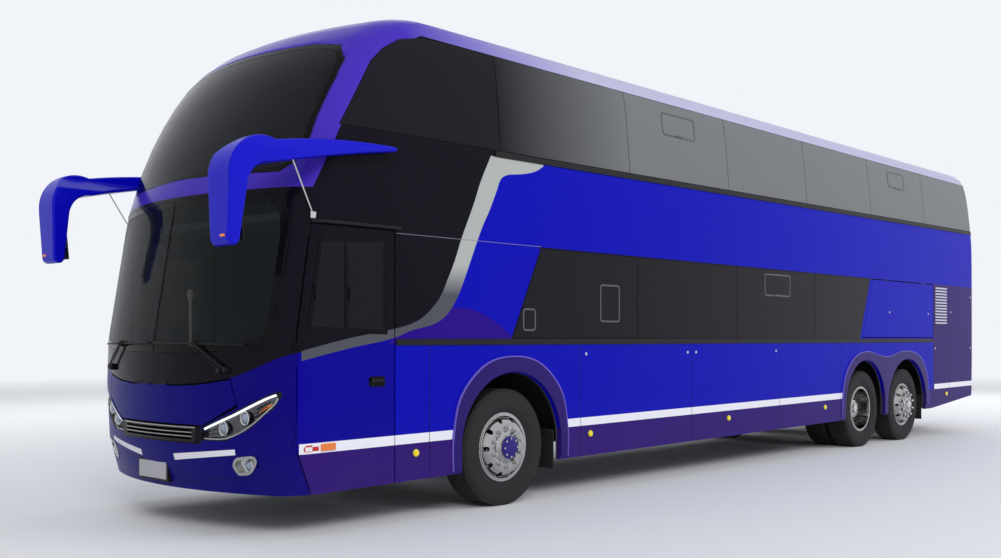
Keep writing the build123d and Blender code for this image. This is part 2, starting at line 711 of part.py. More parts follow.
front_outer = arch_prism(front_axle_x, 650 + sheet, 720 + sheet, inner_half, housing_y, front_housing_rise + sheet)
front_inner = arch_prism(front_axle_x, 650, 720, inner_half + 10, housing_y + sheet, front_housing_rise)
floor_bottom = lower_floor_top - floor_thick
below_floor = block(rear_x, nose_x, 0, beyond, 0, floor_bottom)
front_housing = without(front_outer, front_inner, below_floor)
rear_low = 420.0


def rear_outline(grow):
    """Side outline of the housing over both rear wheels."""
    return [
        (drive_axle_x + 610 + grow, rear_low), (drive_axle_x + 610 + grow, 900), (drive_axle_x + 400, rear_housing_top + grow),
        (tag_axle_x - 480, rear_housing_top + grow), (tag_axle_x - 700 - grow, 900), (tag_axle_x - 700 - grow, rear_low),
    ]


rear_housing = without(
    side_prism([rear_outline(sheet)], inner_half, housing_y),
    side_prism([rear_outline(0)], inner_half + 10, housing_y + sheet),
    block(rear_x, front_axle_x, housing_y - 10, inner_half + 10, rear_low - 10, rear_low + 1),
    block(rear_x, front_axle_x, housing_y - 10, housing_y + sheet + 10, rear_low, 760),
)
save(apart(front_housing, kerb_side(front_housing), rear_housing, kerb_side(rear_housing)), "wheel_housings")

# ---------------------------------------------------------------- floors, stair and luggage bay
door_step_y = inner_half - 25
bay_front = behind(6400)
bay_rear = behind(9450)
plate = 50.0
with BuildPart() as lower_floor:
    with BuildSketch(Plane.XY.offset(floor_bottom)):
        with BuildLine():
            Polyline(
                (bay_front, -inner_half), (door_rear - 30, -inner_half), (door_rear - 30, -door_step_y),
                (front_axle_x + 2050, -door_step_y), (front_axle_x + 2050, -950), (front_axle_x + 2280, -950),
                (front_axle_x + 2280, 950), (front_axle_x + 2050, 950), (front_axle_x + 2050, door_step_y),
                (door_rear - 30, door_step_y), (door_rear - 30, inner_half), (bay_front, inner_half), close=True,
            )
        make_face()
        for side in (-1, 1):
            with Locations((front_axle_x - 35, side * (housing_y + inner_half) / 2)):
                Rectangle(1370 + 2 * sheet, inner_half - housing_y, mode=Mode.SUBTRACT)
    extrude(amount=floor_thick)
    platform_top = 750.0
    add(block(front_axle_x + 800, front_axle_x + 2050, 100, inner_half - 60, lower_floor_top - 5, platform_top))
save(lower_floor.part, "lower_floor")

BAY = [
    (bay_front, lower_floor_top), (bay_front, upper_floor_bottom), (bay_front - plate, upper_floor_bottom),
    (bay_front - plate, bay_floor_top), (bay_rear + plate, bay_floor_top), (bay_rear + plate, upper_floor_bottom),
    (bay_rear, upper_floor_bottom), (bay_rear, bay_floor_bottom), (bay_front - plate, bay_floor_bottom),
    (bay_front - plate, lower_floor_top),
]
rear_pair = [
    side_prism([rear_outline(sheet)], inner_half + 5, housing_y), side_prism([rear_outline(sheet)], -housing_y, -inner_half - 5),
]
luggage_bay = without(
    side_prism([BAY], inner_half, -inner_half), *rear_pair,
    block(bay_front - plate - 5, bay_front + 5, -rail_y - rail_wide - 5, rail_y + rail_wide + 5, 0, rail_high_top + 20),
)
save(luggage_bay, "luggage_bay")

stair_front = behind(810)
stair_rear = behind(2450)
stair_y0 = -inner_half + 30
stair_y1 = -560.0
risers = 9
riser = (upper_floor_top - lower_floor_top) / risers
going = (stair_front - stair_rear) / risers
STAIR = [(stair_front, lower_floor_top)]
for step in range(risers):
    STAIR += [
        (stair_front - step * going, lower_floor_top + (step + 1) * riser),
        (stair_front - (step + 1) * going, lower_floor_top + (step + 1) * riser),
    ]
STAIR += [(stair_rear, upper_floor_top - 260), (stair_front - 1.6 * going, lower_floor_top)]
save(side_prism([STAIR], stair_y1, stair_y0), "staircase")
with BuildPart() as upper_floor:
    add(block(rear_x + wall + 15, front_axle_x + 1850, -inner_half, inner_half, upper_floor_bottom, upper_floor_top))
    add(block(stair_rear, stair_front + 20, -inner_half - 10, stair_y1 + 20, 0, roof_z), mode=Mode.SUBTRACT)
save(common(upper_floor.part, core), "upper_floor")

# ---------------------------------------------------------------- driver's place
seat_y = 620.0
column_tilt = 28.0
wheel_centre = (front_axle_x + 1720, seat_y, 1300.0)
tilt = math.radians(column_tilt)
column_axis = Plane(origin=wheel_centre, x_dir=(math.cos(tilt), 0, math.sin(tilt)), z_dir=(-math.sin(tilt), 0, math.cos(tilt)))
steer_r = 225.0
grip_r = 15.0
DASH = [
    (front_axle_x + 2270, lower_floor_top), (front_axle_x + 2270, 1330), (front_axle_x + 2150, 1385), (front_axle_x + 1860, 1330),
    (front_axle_x + 1800, 1190), (front_axle_x + 1900, 980), (front_axle_x + 2080, 930), (front_axle_x + 2080, lower_floor_top),
]
with BuildPart() as dashboard:
    add(side_prism([DASH], 940, -620))
    with BuildSketch(column_axis.offset(-45)):
        Circle(36)
    extrude(amount=-640)
    add(block(front_axle_x + 2080 - 30, nose_x, -beyond, beyond, 0, lower_floor_top), mode=Mode.SUBTRACT)
    add(block(front_axle_x, nose_x, 0, beyond, 0, platform_top), mode=Mode.SUBTRACT)
    add(block(front_axle_x + 2080, front_axle_x + 2270, 100, 940, lower_floor_top, platform_top + 5))
save(common(dashboard.part, core), "dashboard")

with BuildPart() as steering_wheel:
    with BuildSketch(Plane(origin=wheel_centre, x_dir=(0, 1, 0), z_dir=(math.cos(tilt), 0, math.sin(tilt)))):
        with Locations((steer_r, 0)):
            Circle(grip_r)
    revolve(axis=Axis(wheel_centre, tuple(column_axis.z_dir)))
    with BuildSketch(column_axis.offset(-44.7)):
        Circle(48)
    extrude(amount=50)
    for turn in (30, 150, 210, 330):
        with BuildSketch(column_axis.offset(-20)):
            with Locations(Location((0, 0), turn)):
                with Locations((steer_r / 2, 0)):
                    Rectangle(steer_r, 30)
        extrude(amount=14)
save(steering_wheel.part, "steering_wheel")

# Seat outline in the side view: foot, cushion and raked back, from the foot's rear edge
SEAT = [
    (100, 0), (230, 0), (230, 330), (480, 340), (490, 450), (100, 440), (-70, 1090), (-160, 1070), (10, 330), (100, 330),
]
seat_wide = 440.0
seat_pitch = 850.0


def seats(xs, y_centre, floor_z, wide=seat_wide):
    """A file of seats, one behind another."""
    with BuildPart() as row:
        with BuildSketch(Plane(origin=(0, y_centre + wide / 2, 0), x_dir=(1, 0, 0), z_dir=(0, -1, 0))):
            for x in xs:
                with BuildLine():
                    Polyline(*[(x + sx, floor_z + sz) for sx, sz in SEAT], close=True)
                make_face()
        extrude(amount=wide)
    return row.part


save(seats([front_axle_x + 860], seat_y, platform_top, 480), "driver_seat")
seat_window_y = inner_half - 50 - seat_wide / 2
seat_aisle_y = seat_window_y - seat_wide - 15
lower_left = [behind(1700) - i * seat_pitch for i in range(5)]
lower_right = [behind(3250) - i * seat_pitch for i in range(4)]
upper_left = [front_axle_x + 620 - i * seat_pitch for i in range(13)]
upper_right = [x for x in upper_left if not stair_rear - 250 < x < stair_front + 250]
seat_files = [
    seats(xs, side * y, z)
    for xs, side, z in (
        (lower_left, 1, lower_floor_top), (lower_right, -1, lower_floor_top),
        (upper_left, 1, upper_floor_top), (upper_right, -1, upper_floor_top),
    )
    for y in (seat_window_y - 50, seat_aisle_y - 50)
]
save(apart(*seat_files), "passenger_seats")

# ---------------------------------------------------------------- axles and knuckles
track_y = 1122.0           # centre of a single tyre, or of the outer twin
kingpin_y = 930.0
beam_z = 270.0
beam_high = 100.0
BEAM = [
    (-1000, 430), (-1000, 560), (-860, 560), (-700, beam_z + beam_high), (700, beam_z + beam_high), (860, 560),
    (1000, 560), (1000, 430), (880, 430), (720, beam_z), (-720, beam_z), (-880, 430),
]
eye_boss_r = 48.0
boss_low, boss_high = 430.0, 570.0
king_r = 24.0
ear_thick = 45.0
spindle_r = 36.0
with BuildPart() as front_axle:
    with BuildSketch(Plane(origin=(front_axle_x - 45, 0, 0), x_dir=(0, 1, 0), z_dir=(1, 0, 0))):
        with BuildLine():
            Polyline(*[(y * kingpin_y / 1000 if abs(y) == 1000 else y * 0.98, z) for y, z in BEAM], close=True)
        make_face()
    extrude(amount=90)
    with Locations(*[(front_axle_x, side * kingpin_y, (boss_low + boss_high) / 2) for side in (-1, 1)]):
        Cylinder(eye_boss_r, boss_high - boss_low)
    with Locations(*[(front_axle_x, side * kingpin_y, (boss_low + boss_high) / 2) for side in (-1, 1)]):
        Cylinder(king_r + pin_clear, 400, mode=Mode.SUBTRACT)
    with Locations(*[(front_axle_x, side * (rail_y + rail_wide / 2), (beam_z + beam_high + rail_low) / 2) for side in (-1, 1)]):
        Cylinder(36, rail_low - beam_z - beam_high)
save(front_axle.part, "front_axle")

ear_gap = 0.5
fork_y = kingpin_y + eye_boss_r + 8
with BuildPart() as knuckle_body:
    for low, high in ((boss_low - ear_gap - ear_thick, boss_low - ear_gap), (boss_high + ear_gap, boss_high + ear_gap + ear_thick)):
        with BuildSketch(Plane.XY.offset(low)):
            with Locations((front_axle_x, kingpin_y)):
                Circle(eye_boss_r)
            with Locations((front_axle_x, (kingpin_y + fork_y + 40) / 2)):
                Rectangle(2 * eye_boss_r, fork_y + 40 - kingpin_y)
        extrude(amount=high - low)
    fork_low = boss_low - ear_gap - ear_thick
    fork_high = boss_high + ear_gap + ear_thick
    with Locations((front_axle_x, fork_y + 20, (fork_low + fork_high) / 2)):
        Box(2 * eye_boss_r, 40, fork_high - fork_low)
    with Locations((front_axle_x, kingpin_y, (fork_low + fork_high) / 2)):
        Cylinder(king_r, fork_high - fork_low)
    with BuildSketch(Plane(origin=(front_axle_x, fork_y + 20, wheel_z), x_dir=(1, 0, 0), z_dir=(0, 1, 0))):
        Circle(spindle_r)
    extrude(amount=track_y + 90 - fork_y - 20)
save(knuckle_body.part, "left_knuckle")
save(kerb_side(knuckle_body.part), "right_knuckle")

# ---------------------------------------------------------------- wheels
seat_r = 286.0             # bead seat of a 22.5 inch rim
flange_r = 299.0
flange_y = 118.0
hub_face = 167.0           # from the rim's middle plane to the wheel's mounting face
bore_r = 140.5
twin_space = 2 * hub_face
# Rim section: distance out from the middle plane, radius
DISC = [
    (50, seat_r - 14), (88, 262), (142, 232), (155, 214), (155, bore_r), (hub_face, bore_r), (hub_face, 220), (150, 243),
    (96, 272), (80, seat_r - 12),
]
BARREL = [
    (-flange_y, flange_r), (-flange_y + 9, flange_r), (-flange_y + 9, seat_r), (flange_y - 9, seat_r),
    (flange_y - 9, flange_r), (flange_y, flange_r), (flange_y, seat_r - 16), (-flange_y, seat_r - 16),
]
hand_holes = 10
hand_hole_r = 21.0
hand_hole_pcr = 240.0


def wheel_plane(axle_x, y, outward):
    """Section plane of a wheel: its own X runs out along the axle, its Y is the radius."""
    return Plane(origin=(axle_x, y, wheel_z), x_dir=(0, outward, 0), z_dir=(outward, 0, 0))


# Tyre section: distance out from the middle plane, radius
TYRE_SIDE = [(108, seat_r + seat_gap), (108, flange_r + 3), (124, 318), (138, 350), (145, 400), (140, 450), (131, 486)]
TYRE_SHOULDER = (108, tyre_r - 3)


def tyre(axle_x, y):
    """Closed ring with a slightly crowned tread and bulging walls."""
    axis = Axis((axle_x, y, wheel_z), (0, 1, 0))
    section = [*TYRE_SIDE, TYRE_SHOULDER, (50, tyre_r)]
    with BuildPart() as ring:
        with BuildSketch(wheel_plane(axle_x, y, 1)):
            with BuildLine():
                Polyline(*section, *[(-out, radius) for out, radius in reversed(section)], close=True)
            make_face()
        revolve(axis=axis)
    return ring.part


def rim(axle_x, y, outward):
    """Barrel and dished disc with a ring of hand holes; outward is the side that the dish bulges to."""
    axis = Axis((axle_x, y, wheel_z), (0, 1, 0))
    with BuildPart() as wheel:
        with BuildSketch(wheel_plane(axle_x, y, outward)):
            for section in (BARREL, DISC):
                with BuildLine():
                    Polyline(*section, close=True)
                make_face()
        revolve(axis=axis)
        with BuildSketch(Plane(origin=(axle_x, y + outward * (flange_y + 60), wheel_z), x_dir=(1, 0, 0), z_dir=(0, outward, 0))):
            with PolarLocations(hand_hole_pcr, hand_holes):
                Circle(hand_hole_r)
        extrude(amount=-200, mode=Mode.SUBTRACT)
    return wheel.part


def turned(axle_x, y, steps, bore):
    """A hub turned from steps of (from, to, radius) along the axle, bored to a depth for its spindle."""
    depth, radius = bore
    start = steps[0][0] - 5
    with BuildPart() as hub:
        for near, far, step_r in steps:
            with BuildSketch(Plane(origin=(axle_x, y + near, wheel_z), x_dir=(1, 0, 0), z_dir=(0, 1, 0))):
                Circle(step_r)
            extrude(amount=far - near)
        with BuildSketch(Plane(origin=(axle_x, y + start, wheel_z), x_dir=(1, 0, 0), z_dir=(0, 1, 0))):
            Circle(radius)
        extrude(amount=depth - start, mode=Mode.SUBTRACT)
    return hub.part


# Hub steps out from the middle plane of the wheel that shows: from, to, radius
FRONT_HUB = [(-60, 60, 95), (60, hub_face - 12, 205), (hub_face - 13, hub_face + 6, bore_r - 0.01), (hub_face + 5, 195, 105)]
TAG_HUB = [(-60, 60, 110), (60, hub_face - 12, 205), (hub_face - 13, hub_face + 6, bore_r - 0.01), (hub_face + 5, 185, 100)]
DRIVE_HUB = [(-430, -180, 120), (-180, -hub_face - 12, 205), (-hub_face - 13, -hub_face + 30, bore_r - 0.01), (-hub_face + 29, 20, 120)]
rear_spindle_r = 60.0
inner_y = track_y - twin_space
wheels = {
    "front_{}_tyre": tyre(front_axle_x, track_y),
    "tag_{}_tyre": tyre(tag_axle_x, track_y),
    "drive_{}_tyres": apart(tyre(drive_axle_x, track_y), tyre(drive_axle_x, inner_y)),
    "front_{}_rim": joined(
        rim(front_axle_x, track_y, 1), turned(front_axle_x, track_y, FRONT_HUB, (105, spindle_r + pin_clear)),
    ),
    "tag_{}_rim": joined(
        rim(tag_axle_x, track_y, 1), turned(tag_axle_x, track_y, TAG_HUB, (105, rear_spindle_r + pin_clear)),
    ),
    "drive_{}_rims": joined(
        rim(drive_axle_x, track_y, -1), rim(drive_axle_x, inner_y, 1),
        turned(drive_axle_x, track_y, DRIVE_HUB, (-30, rear_spindle_r + pin_clear)),
    ),
}
for name, piece in wheels.items():
    save(piece, name.format("left"))
    save(kerb_side(piece), name.format("right"))

differential_r = 215.0
axle_tube_r = 85.0
spring_r = 80.0
with BuildPart() as rear_axles:
    for axle_x, spindle_end, tube_end in (
        (drive_axle_x, track_y - 45, track_y - 440), (tag_axle_x, track_y + 90, track_y - 70),
    ):
        along = Plane(origin=(axle_x, 0, wheel_z), x_dir=(1, 0, 0), z_dir=(0, 1, 0))
        with BuildSketch(along):
            Circle(axle_tube_r)
        extrude(amount=tube_end, both=True)
        with BuildSketch(along):
            Circle(rear_spindle_r)
        extrude(amount=spindle_end, both=True)
        with Locations(*[(axle_x, side * (rail_y + rail_wide / 2), (wheel_z + rail_high) / 2) for side in (-1, 1)]):
            Cylinder(spring_r, rail_high - wheel_z)
    with Locations((drive_axle_x, 0, wheel_z)):
        Sphere(differential_r)
save(apart(rear_axles.part), "rear_axles")
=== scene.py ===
# %% [markdown]
# # Double-deck coach
# A long-distance coach, fourteen metres long, with a cab and a saloon below and a second saloon
# above. Its exact panels, doors and wheels come in as a fixed frame. This lesson gives them paint,
# glass, rubber and polished metal, and adds the trim that is too fine for the frame: mouldings,
# lamps, wiper blades, wheel nuts, tread and seams.

# %% Load the frame
import json
import math

import bmesh
import bpy
from mathutils import Matrix, Vector
from mathutils.bvhtree import BVHTree
from mathutils.geometry import delaunay_2d_cdt

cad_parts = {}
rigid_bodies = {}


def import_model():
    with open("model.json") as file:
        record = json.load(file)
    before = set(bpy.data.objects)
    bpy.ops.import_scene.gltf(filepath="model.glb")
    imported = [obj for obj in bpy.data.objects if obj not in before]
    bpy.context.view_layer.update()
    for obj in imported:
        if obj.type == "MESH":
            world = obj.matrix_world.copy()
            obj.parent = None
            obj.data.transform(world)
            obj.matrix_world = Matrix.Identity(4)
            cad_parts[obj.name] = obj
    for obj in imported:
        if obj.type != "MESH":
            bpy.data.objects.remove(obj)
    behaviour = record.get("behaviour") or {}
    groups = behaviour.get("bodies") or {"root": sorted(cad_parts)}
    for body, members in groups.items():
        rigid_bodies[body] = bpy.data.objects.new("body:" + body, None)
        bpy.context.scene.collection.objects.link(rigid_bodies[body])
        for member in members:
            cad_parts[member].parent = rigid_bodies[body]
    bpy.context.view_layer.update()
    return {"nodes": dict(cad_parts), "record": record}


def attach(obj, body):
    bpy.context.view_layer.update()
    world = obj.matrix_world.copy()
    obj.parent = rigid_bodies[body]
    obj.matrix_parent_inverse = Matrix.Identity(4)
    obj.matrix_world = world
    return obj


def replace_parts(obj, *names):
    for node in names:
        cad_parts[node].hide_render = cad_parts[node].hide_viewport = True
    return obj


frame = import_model()
nodes = frame["nodes"]
body_of = {node: body for body, members in frame["record"]["behaviour"]["bodies"].items() for node in members}


def shown(name, data):
    """A new object in the scene."""
    thing = bpy.data.objects.new(name, data)
    bpy.context.scene.collection.objects.link(thing)
    return thing


def mesh_of(points, faces, name="piece"):
    """A mesh from its points and faces."""
    mesh = bpy.data.meshes.new(name)
    mesh.from_pydata([tuple(p) for p in points], [], faces)
    return mesh


# %% [markdown]
# ## Where things are
# A coach builder gives places along the body by their distance from the front axle. The few
# dimensions below repeat the frame's, so that every piece of trim is placed by arithmetic and
# follows the coach if it grows.

# %% Driving dimensions, in metres
axle_x = 4.130                     # front axle
drive_x = axle_x - 7.050           # driven axle, with twin tyres
tag_x = axle_x - 8.400             # trailing axle
nose_x, rear_x = 6.760, -7.000     # foremost and rearmost skin
belt_z = 1.445                     # black moulding under the lower windows
gutter_z = 3.885                   # head of the upper windows
sill_slope = 0.0095                # the upper sill's drop towards the nose, metre by metre
bay_ahead = -9.40                  # joint of the engine bay, ahead of the front axle
tail_ahead = -11.03                # where the tail corner starts, ahead of the front axle
door_front, door_rear = axle_x + 2.220, axle_x + 1.300
wheel_z = 0.505
tyre_r = 0.505
print("door from", round(door_rear, 3), "to", round(door_front, 3))

# %% [markdown]
# ## Camera
# The coach is seen from its front left corner at the height of a standing person's chest, with a
# lens a little longer than normal. The camera stays level, so that the body's uprights stay
# upright, and its shift lifts the frame to hold the roof.

# %% Place the camera
picture_wide = 1001                # in pixels, like the two lengths below
focal_pixels = 1090.47
shift_pixels = 59.86
camera_data = bpy.data.cameras.new("coach_camera")
camera_data.sensor_width = 36.0
camera_data.lens = focal_pixels * camera_data.sensor_width / picture_wide
camera_data.shift_y = shift_pixels / picture_wide
camera_data.clip_end = 500.0
camera = shown("coach_camera", camera_data)
camera.location = (11.0645, 7.6610, 1.4410)
camera.rotation_euler = (math.radians(90), 0, math.radians(132.9266))
bpy.context.scene.camera = camera
print("lens", round(camera_data.lens, 2), "mm")

# %% [markdown]
# ## Shader arithmetic
# A paint scheme is a stack of masks, and masks are sums. Wiring each Math node by hand hides that,
# so a small class wraps a socket and lets Python's own operators add the nodes.

# %% A socket that can be added, multiplied and compared
class Value:
    """A shader socket with arithmetic: each operator adds one Math node."""

    def __init__(self, paint, socket):
        self.paint, self.socket = paint, socket

    def math(self, operation, *others, clamp=False):
        return self.paint.put("ShaderNodeMath", {"operation": operation, "use_clamp": clamp}, self, *others)

    def __add__(self, other):
        return self.math("ADD", other)

    def __sub__(self, other):
        return self.math("SUBTRACT", other)

    def __rsub__(self, other):
        return self.paint.put("ShaderNodeMath", {"operation": "SUBTRACT"}, other, self)

    def __mul__(self, other):
        return self.math("MULTIPLY", other)

    def __truediv__(self, other):
        return self.math("DIVIDE", other)

    def __pow__(self, power):
        return self.math("POWER", power)

    def __abs__(self):
        return self.math("ABSOLUTE")

    def __or__(self, other):
        return self.math("MAXIMUM", other)

    def above(self, level, soft=0.0015):
        """1 where this is more than level, 0 where it is less, with an edge as wide as soft."""
        return ((self - level) / soft).math("ADD", 0.5, clamp=True)

    def below(self, level, soft=0.0015):
        return 1 - self.above(level, soft)

    def between(self, low, high, soft=0.0015):
        return self.above(low, soft) * self.below(high, soft)

    __radd__ = __add__
    __rmul__ = __mul__


# %% A finish: one material, its nodes and its principled shader
def colour(red, green, blue):
    """A display colour, each part 0 to 255, as the linear colour that a shader takes."""
    def linear(part):
        part /= 255
        return part / 12.92 if part <= 0.04045 else ((part + 0.055) / 1.055) ** 2.4
    return (linear(red), linear(green), linear(blue), 1.0)


class Finish:
    """A material built from one principled shader."""

    def __init__(self, name, **settings):
        self.material = bpy.data.materials.new(name)
        self.material.use_nodes = True
        self.tree = self.material.node_tree
        self.tree.nodes.clear()
        self.shader = self.tree.nodes.new("ShaderNodeBsdfPrincipled")
        self.output = self.tree.nodes.new("ShaderNodeOutputMaterial")
        self.tree.links.new(self.shader.outputs[0], self.output.inputs[0])
        for name, value in settings.items():
            self.set(name.replace("_", " "), value)

    def link(self, value, socket):
        if isinstance(value, Value):
            self.tree.links.new(value.socket, socket)
        elif value is not None:
            socket.default_value = value

    def set(self, name, value):
        """Set one of the principled shader's sockets to a number, a colour or a Value."""
        self.link(value, self.shader.inputs[name])

    def put(self, kind, settings, *inputs, out=0, **named):
        """Add a node: its settings first, then its sockets, in order or by name."""
        node = self.tree.nodes.new(kind)
        for key, setting in settings.items():
            setattr(node, key, setting)
        for socket, value in zip(node.inputs, inputs):
            self.link(value, socket)
        for key, value in named.items():
            self.link(value, node.inputs[key.replace("_", " ")])
        return Value(self, node.outputs[out])

    def place(self):
        """X, Y and Z of the point in the coach's own frame."""
        point = self.put("ShaderNodeTexCoord", {}, out="Object")
        split = self.put("ShaderNodeSeparateXYZ", {}, point).socket.node
        return [Value(self, split.outputs[i]) for i in range(3)]

    def noise(self, scale, detail=3.0):
        """Cloudy noise from 0 to 1, by its grains per metre."""
        point = self.put("ShaderNodeTexCoord", {}, out="Object")
        return self.put("ShaderNodeTexNoise", {}, None, Vector=point, Scale=scale, Detail=detail)

    def mix(self, mask, first, second):
        """The first colour where mask is 0 and the second where it is 1."""
        node = self.tree.nodes.new("ShaderNodeMix")
        node.data_type = "RGBA"
        for socket, value in zip((node.inputs[0], node.inputs[6], node.inputs[7]), (mask, first, second)):
            self.link(value, socket)
        return Value(self, node.outputs[2])

    def bump(self, height, distance, strength=1.0):
        """Raise the surface by height times distance, in metres."""
        raised = self.put("ShaderNodeBump", {}, Strength=strength, Distance=distance, Height=height)
        self.set("Normal", raised)

    def curve(self, value, points, span):
        """A smooth function of value through (value, result) points; span is the largest of either."""
        node = self.tree.nodes.new("ShaderNodeFloatCurve")
        node.mapping.extend = "HORIZONTAL"
        line = node.mapping.curves[0]
        scaled = [(v / span, r / span) for v, r in points]
        line.points[0].location, line.points[1].location = scaled[0], scaled[-1]
        for point in scaled[1:-1]:
            line.points.new(*point)
        node.mapping.update()
        self.link(value / span, node.inputs["Value"])
        return Value(self, node.outputs[0]) * span


# %% [markdown]
# ## Studio
# Soft light from a pale world and four large lamps, on a plain floor. The world is a little
# brighter to the camera and to reflections than it is as a lamp, so that the background stays pale
# and polished metal has something to show.

# %% World, floor and lamps
world = bpy.data.worlds.new("studio")
world.use_nodes = True
world_nodes = world.node_tree
world_nodes.nodes.clear()
sky_tint, sky_strength, lamp_strength = (0.93, 0.95, 1.0, 1), 0.95, 0.55


def world_node(kind, *sources, **settings):
    """A node of the world, with its first inputs linked to the given outputs."""
    node = world_nodes.nodes.new(kind)
    for key, value in settings.items():
        setattr(node, key, value)
    for socket, source in zip(node.inputs, sources):
        if source is not None:
            world_nodes.links.new(source, socket)
    return node


rays = world_node("ShaderNodeLightPath").outputs
indirect = world_node(
    "ShaderNodeMath", rays["Is Glossy Ray"], rays["Is Transmission Ray"], operation="MAXIMUM"
)
seen = world_node("ShaderNodeMath", rays["Is Camera Ray"], indirect.outputs[0], operation="MAXIMUM")
strength = world_node("ShaderNodeMapRange", seen.outputs[0])
strength.inputs["To Min"].default_value = lamp_strength
strength.inputs["To Max"].default_value = sky_strength
background = world_node("ShaderNodeBackground", None, strength.outputs[0])
background.inputs["Color"].default_value = sky_tint
world_node("ShaderNodeOutputWorld", background.outputs[0])
bpy.context.scene.world = world
bpy.context.scene.view_settings.view_transform = "Standard"

floor_reach = 90.0
floor_corners = [(x * floor_reach, y * floor_reach, 0) for x, y in ((-1, -1), (1, -1), (1, 1), (-1, 1))]
floor_mesh = mesh_of(floor_corners, [(0, 1, 2, 3)], "floor")
floor = shown("floor", floor_mesh)
floor_paint = Finish("studio_floor", Base_Color=(0.80, 0.81, 0.83, 1), Roughness=0.8)
floor_paint.set("Specular IOR Level", 0.1)
x, y, _ = floor_paint.place()
distance = (x * x + y * y) ** 0.5
glow = floor_paint.tree.nodes.new("ShaderNodeEmission")
glow.inputs["Color"].default_value = sky_tint
glow.inputs["Strength"].default_value = sky_strength
blend = floor_paint.tree.nodes.new("ShaderNodeMixShader")
floor_paint.link((distance - 12).math("MULTIPLY", 0.05, clamp=True), blend.inputs[0])
floor_paint.tree.links.new(floor_paint.shader.outputs[0], blend.inputs[1])
floor_paint.tree.links.new(glow.outputs[0], blend.inputs[2])
floor_paint.tree.links.new(blend.outputs[0], floor_paint.output.inputs[0])
floor_mesh.materials.append(floor_paint.material)


def lamp(name, place, aim, wide, high, watts):
    """A soft box that points from one place to another."""
    light = bpy.data.lights.new(name, "AREA")
    light.shape, light.size, light.size_y, light.energy = "RECTANGLE", wide, high, watts
    holder = shown(name, light)
    holder.location = place
    holder.rotation_euler = (Vector(aim) - Vector(place)).to_track_quat("-Z", "Y").to_euler()
    holder.visible_glossy = False


lamp("key_softbox", (14, 14, 11), (2, 0, 1.5), 9, 6, 1300)
lamp("long_softbox", (-6, 15, 10), (-4, 0, 1.5), 14, 5, 1100)
lamp("kerb_softbox", (2, -16, 10), (0, 0, 1.5), 14, 5, 1000)
lamp("tail_softbox", (-18, -2, 8), (-6, 0, 1.5), 7, 5, 600)
print("studio ready")

# %% [markdown]
# ## Paint
# The body is one colour scheme that runs over many panels, so the scheme is worked out once from
# the place of a point on the coach and every painted panel takes it. Royal blue is the ground.
# Below the white line the skirt is violet, the engine bay is aubergine, the front cap and roof are
# lavender, and a silver blade sweeps down behind the black front quarter. Behind the front the roof
# pales to near white, a painted sky reflection.

# %% The scheme's colours
royal = colour(6, 8, 168)
# The front's own purple-blue, darkened further as painted shade, because the front faces away from the light.
front_blue_shaded = colour(11, 2, 112)
door_blue = colour(8, 2, 140)
skirt_violet = colour(48, 22, 110)
engine_aubergine = colour(46, 24, 102)
cap_lavender = colour(66, 45, 170)
# The near white that the roof pales to behind the front: a painted sky reflection.
roof_pale_reflection = colour(178, 177, 206)
gloss_black = colour(16, 12, 22)
line_white = colour(232, 232, 240)
blade_silver = colour(178, 181, 178)
# The silver blade's lower part, darker than blade_silver: painted shade.
blade_silver_shaded = colour(84, 86, 94)
shoulder_violet = colour(40, 8, 130)
inner_grey = colour(72, 72, 78)

# Edges of the silver blade: height, and distance ahead of the front axle
blade_front = [
    (1.350, 2.20), (1.445, 1.75), (1.523, 1.28), (1.550, 1.16), (1.597, 1.03), (1.672, 0.92), (1.782, 0.81),
    (1.920, 0.73), (2.073, 0.65), (2.263, 0.57), (2.573, 0.42), (2.761, 0.34), (2.995, 0.21)
]
blade_rear = [
    (1.280, 2.20), (1.370, 1.75), (1.458, 1.27), (1.504, 1.14), (1.531, 1.00), (1.579, 0.83), (1.662, 0.71),
    (1.774, 0.62), (1.900, 0.55), (2.069, 0.47), (2.241, 0.39), (2.400, 0.31), (2.533, 0.23), (2.711, 0.14),
    (2.809, 0.09), (2.851, 0.02), (2.884, -0.20), (2.934, -0.38), (2.991, -0.48)
]
line_gaps = [(-0.81, 0.62), (-9.44, -6.66)]      # where the white line stops for the wheel arches


def blade_edge(paint, z, points):
    """Distance ahead of the axle of one edge of the blade, at each height."""
    return paint.curve(z, [(height, ahead + 1) for height, ahead in points], 4.0) - 1


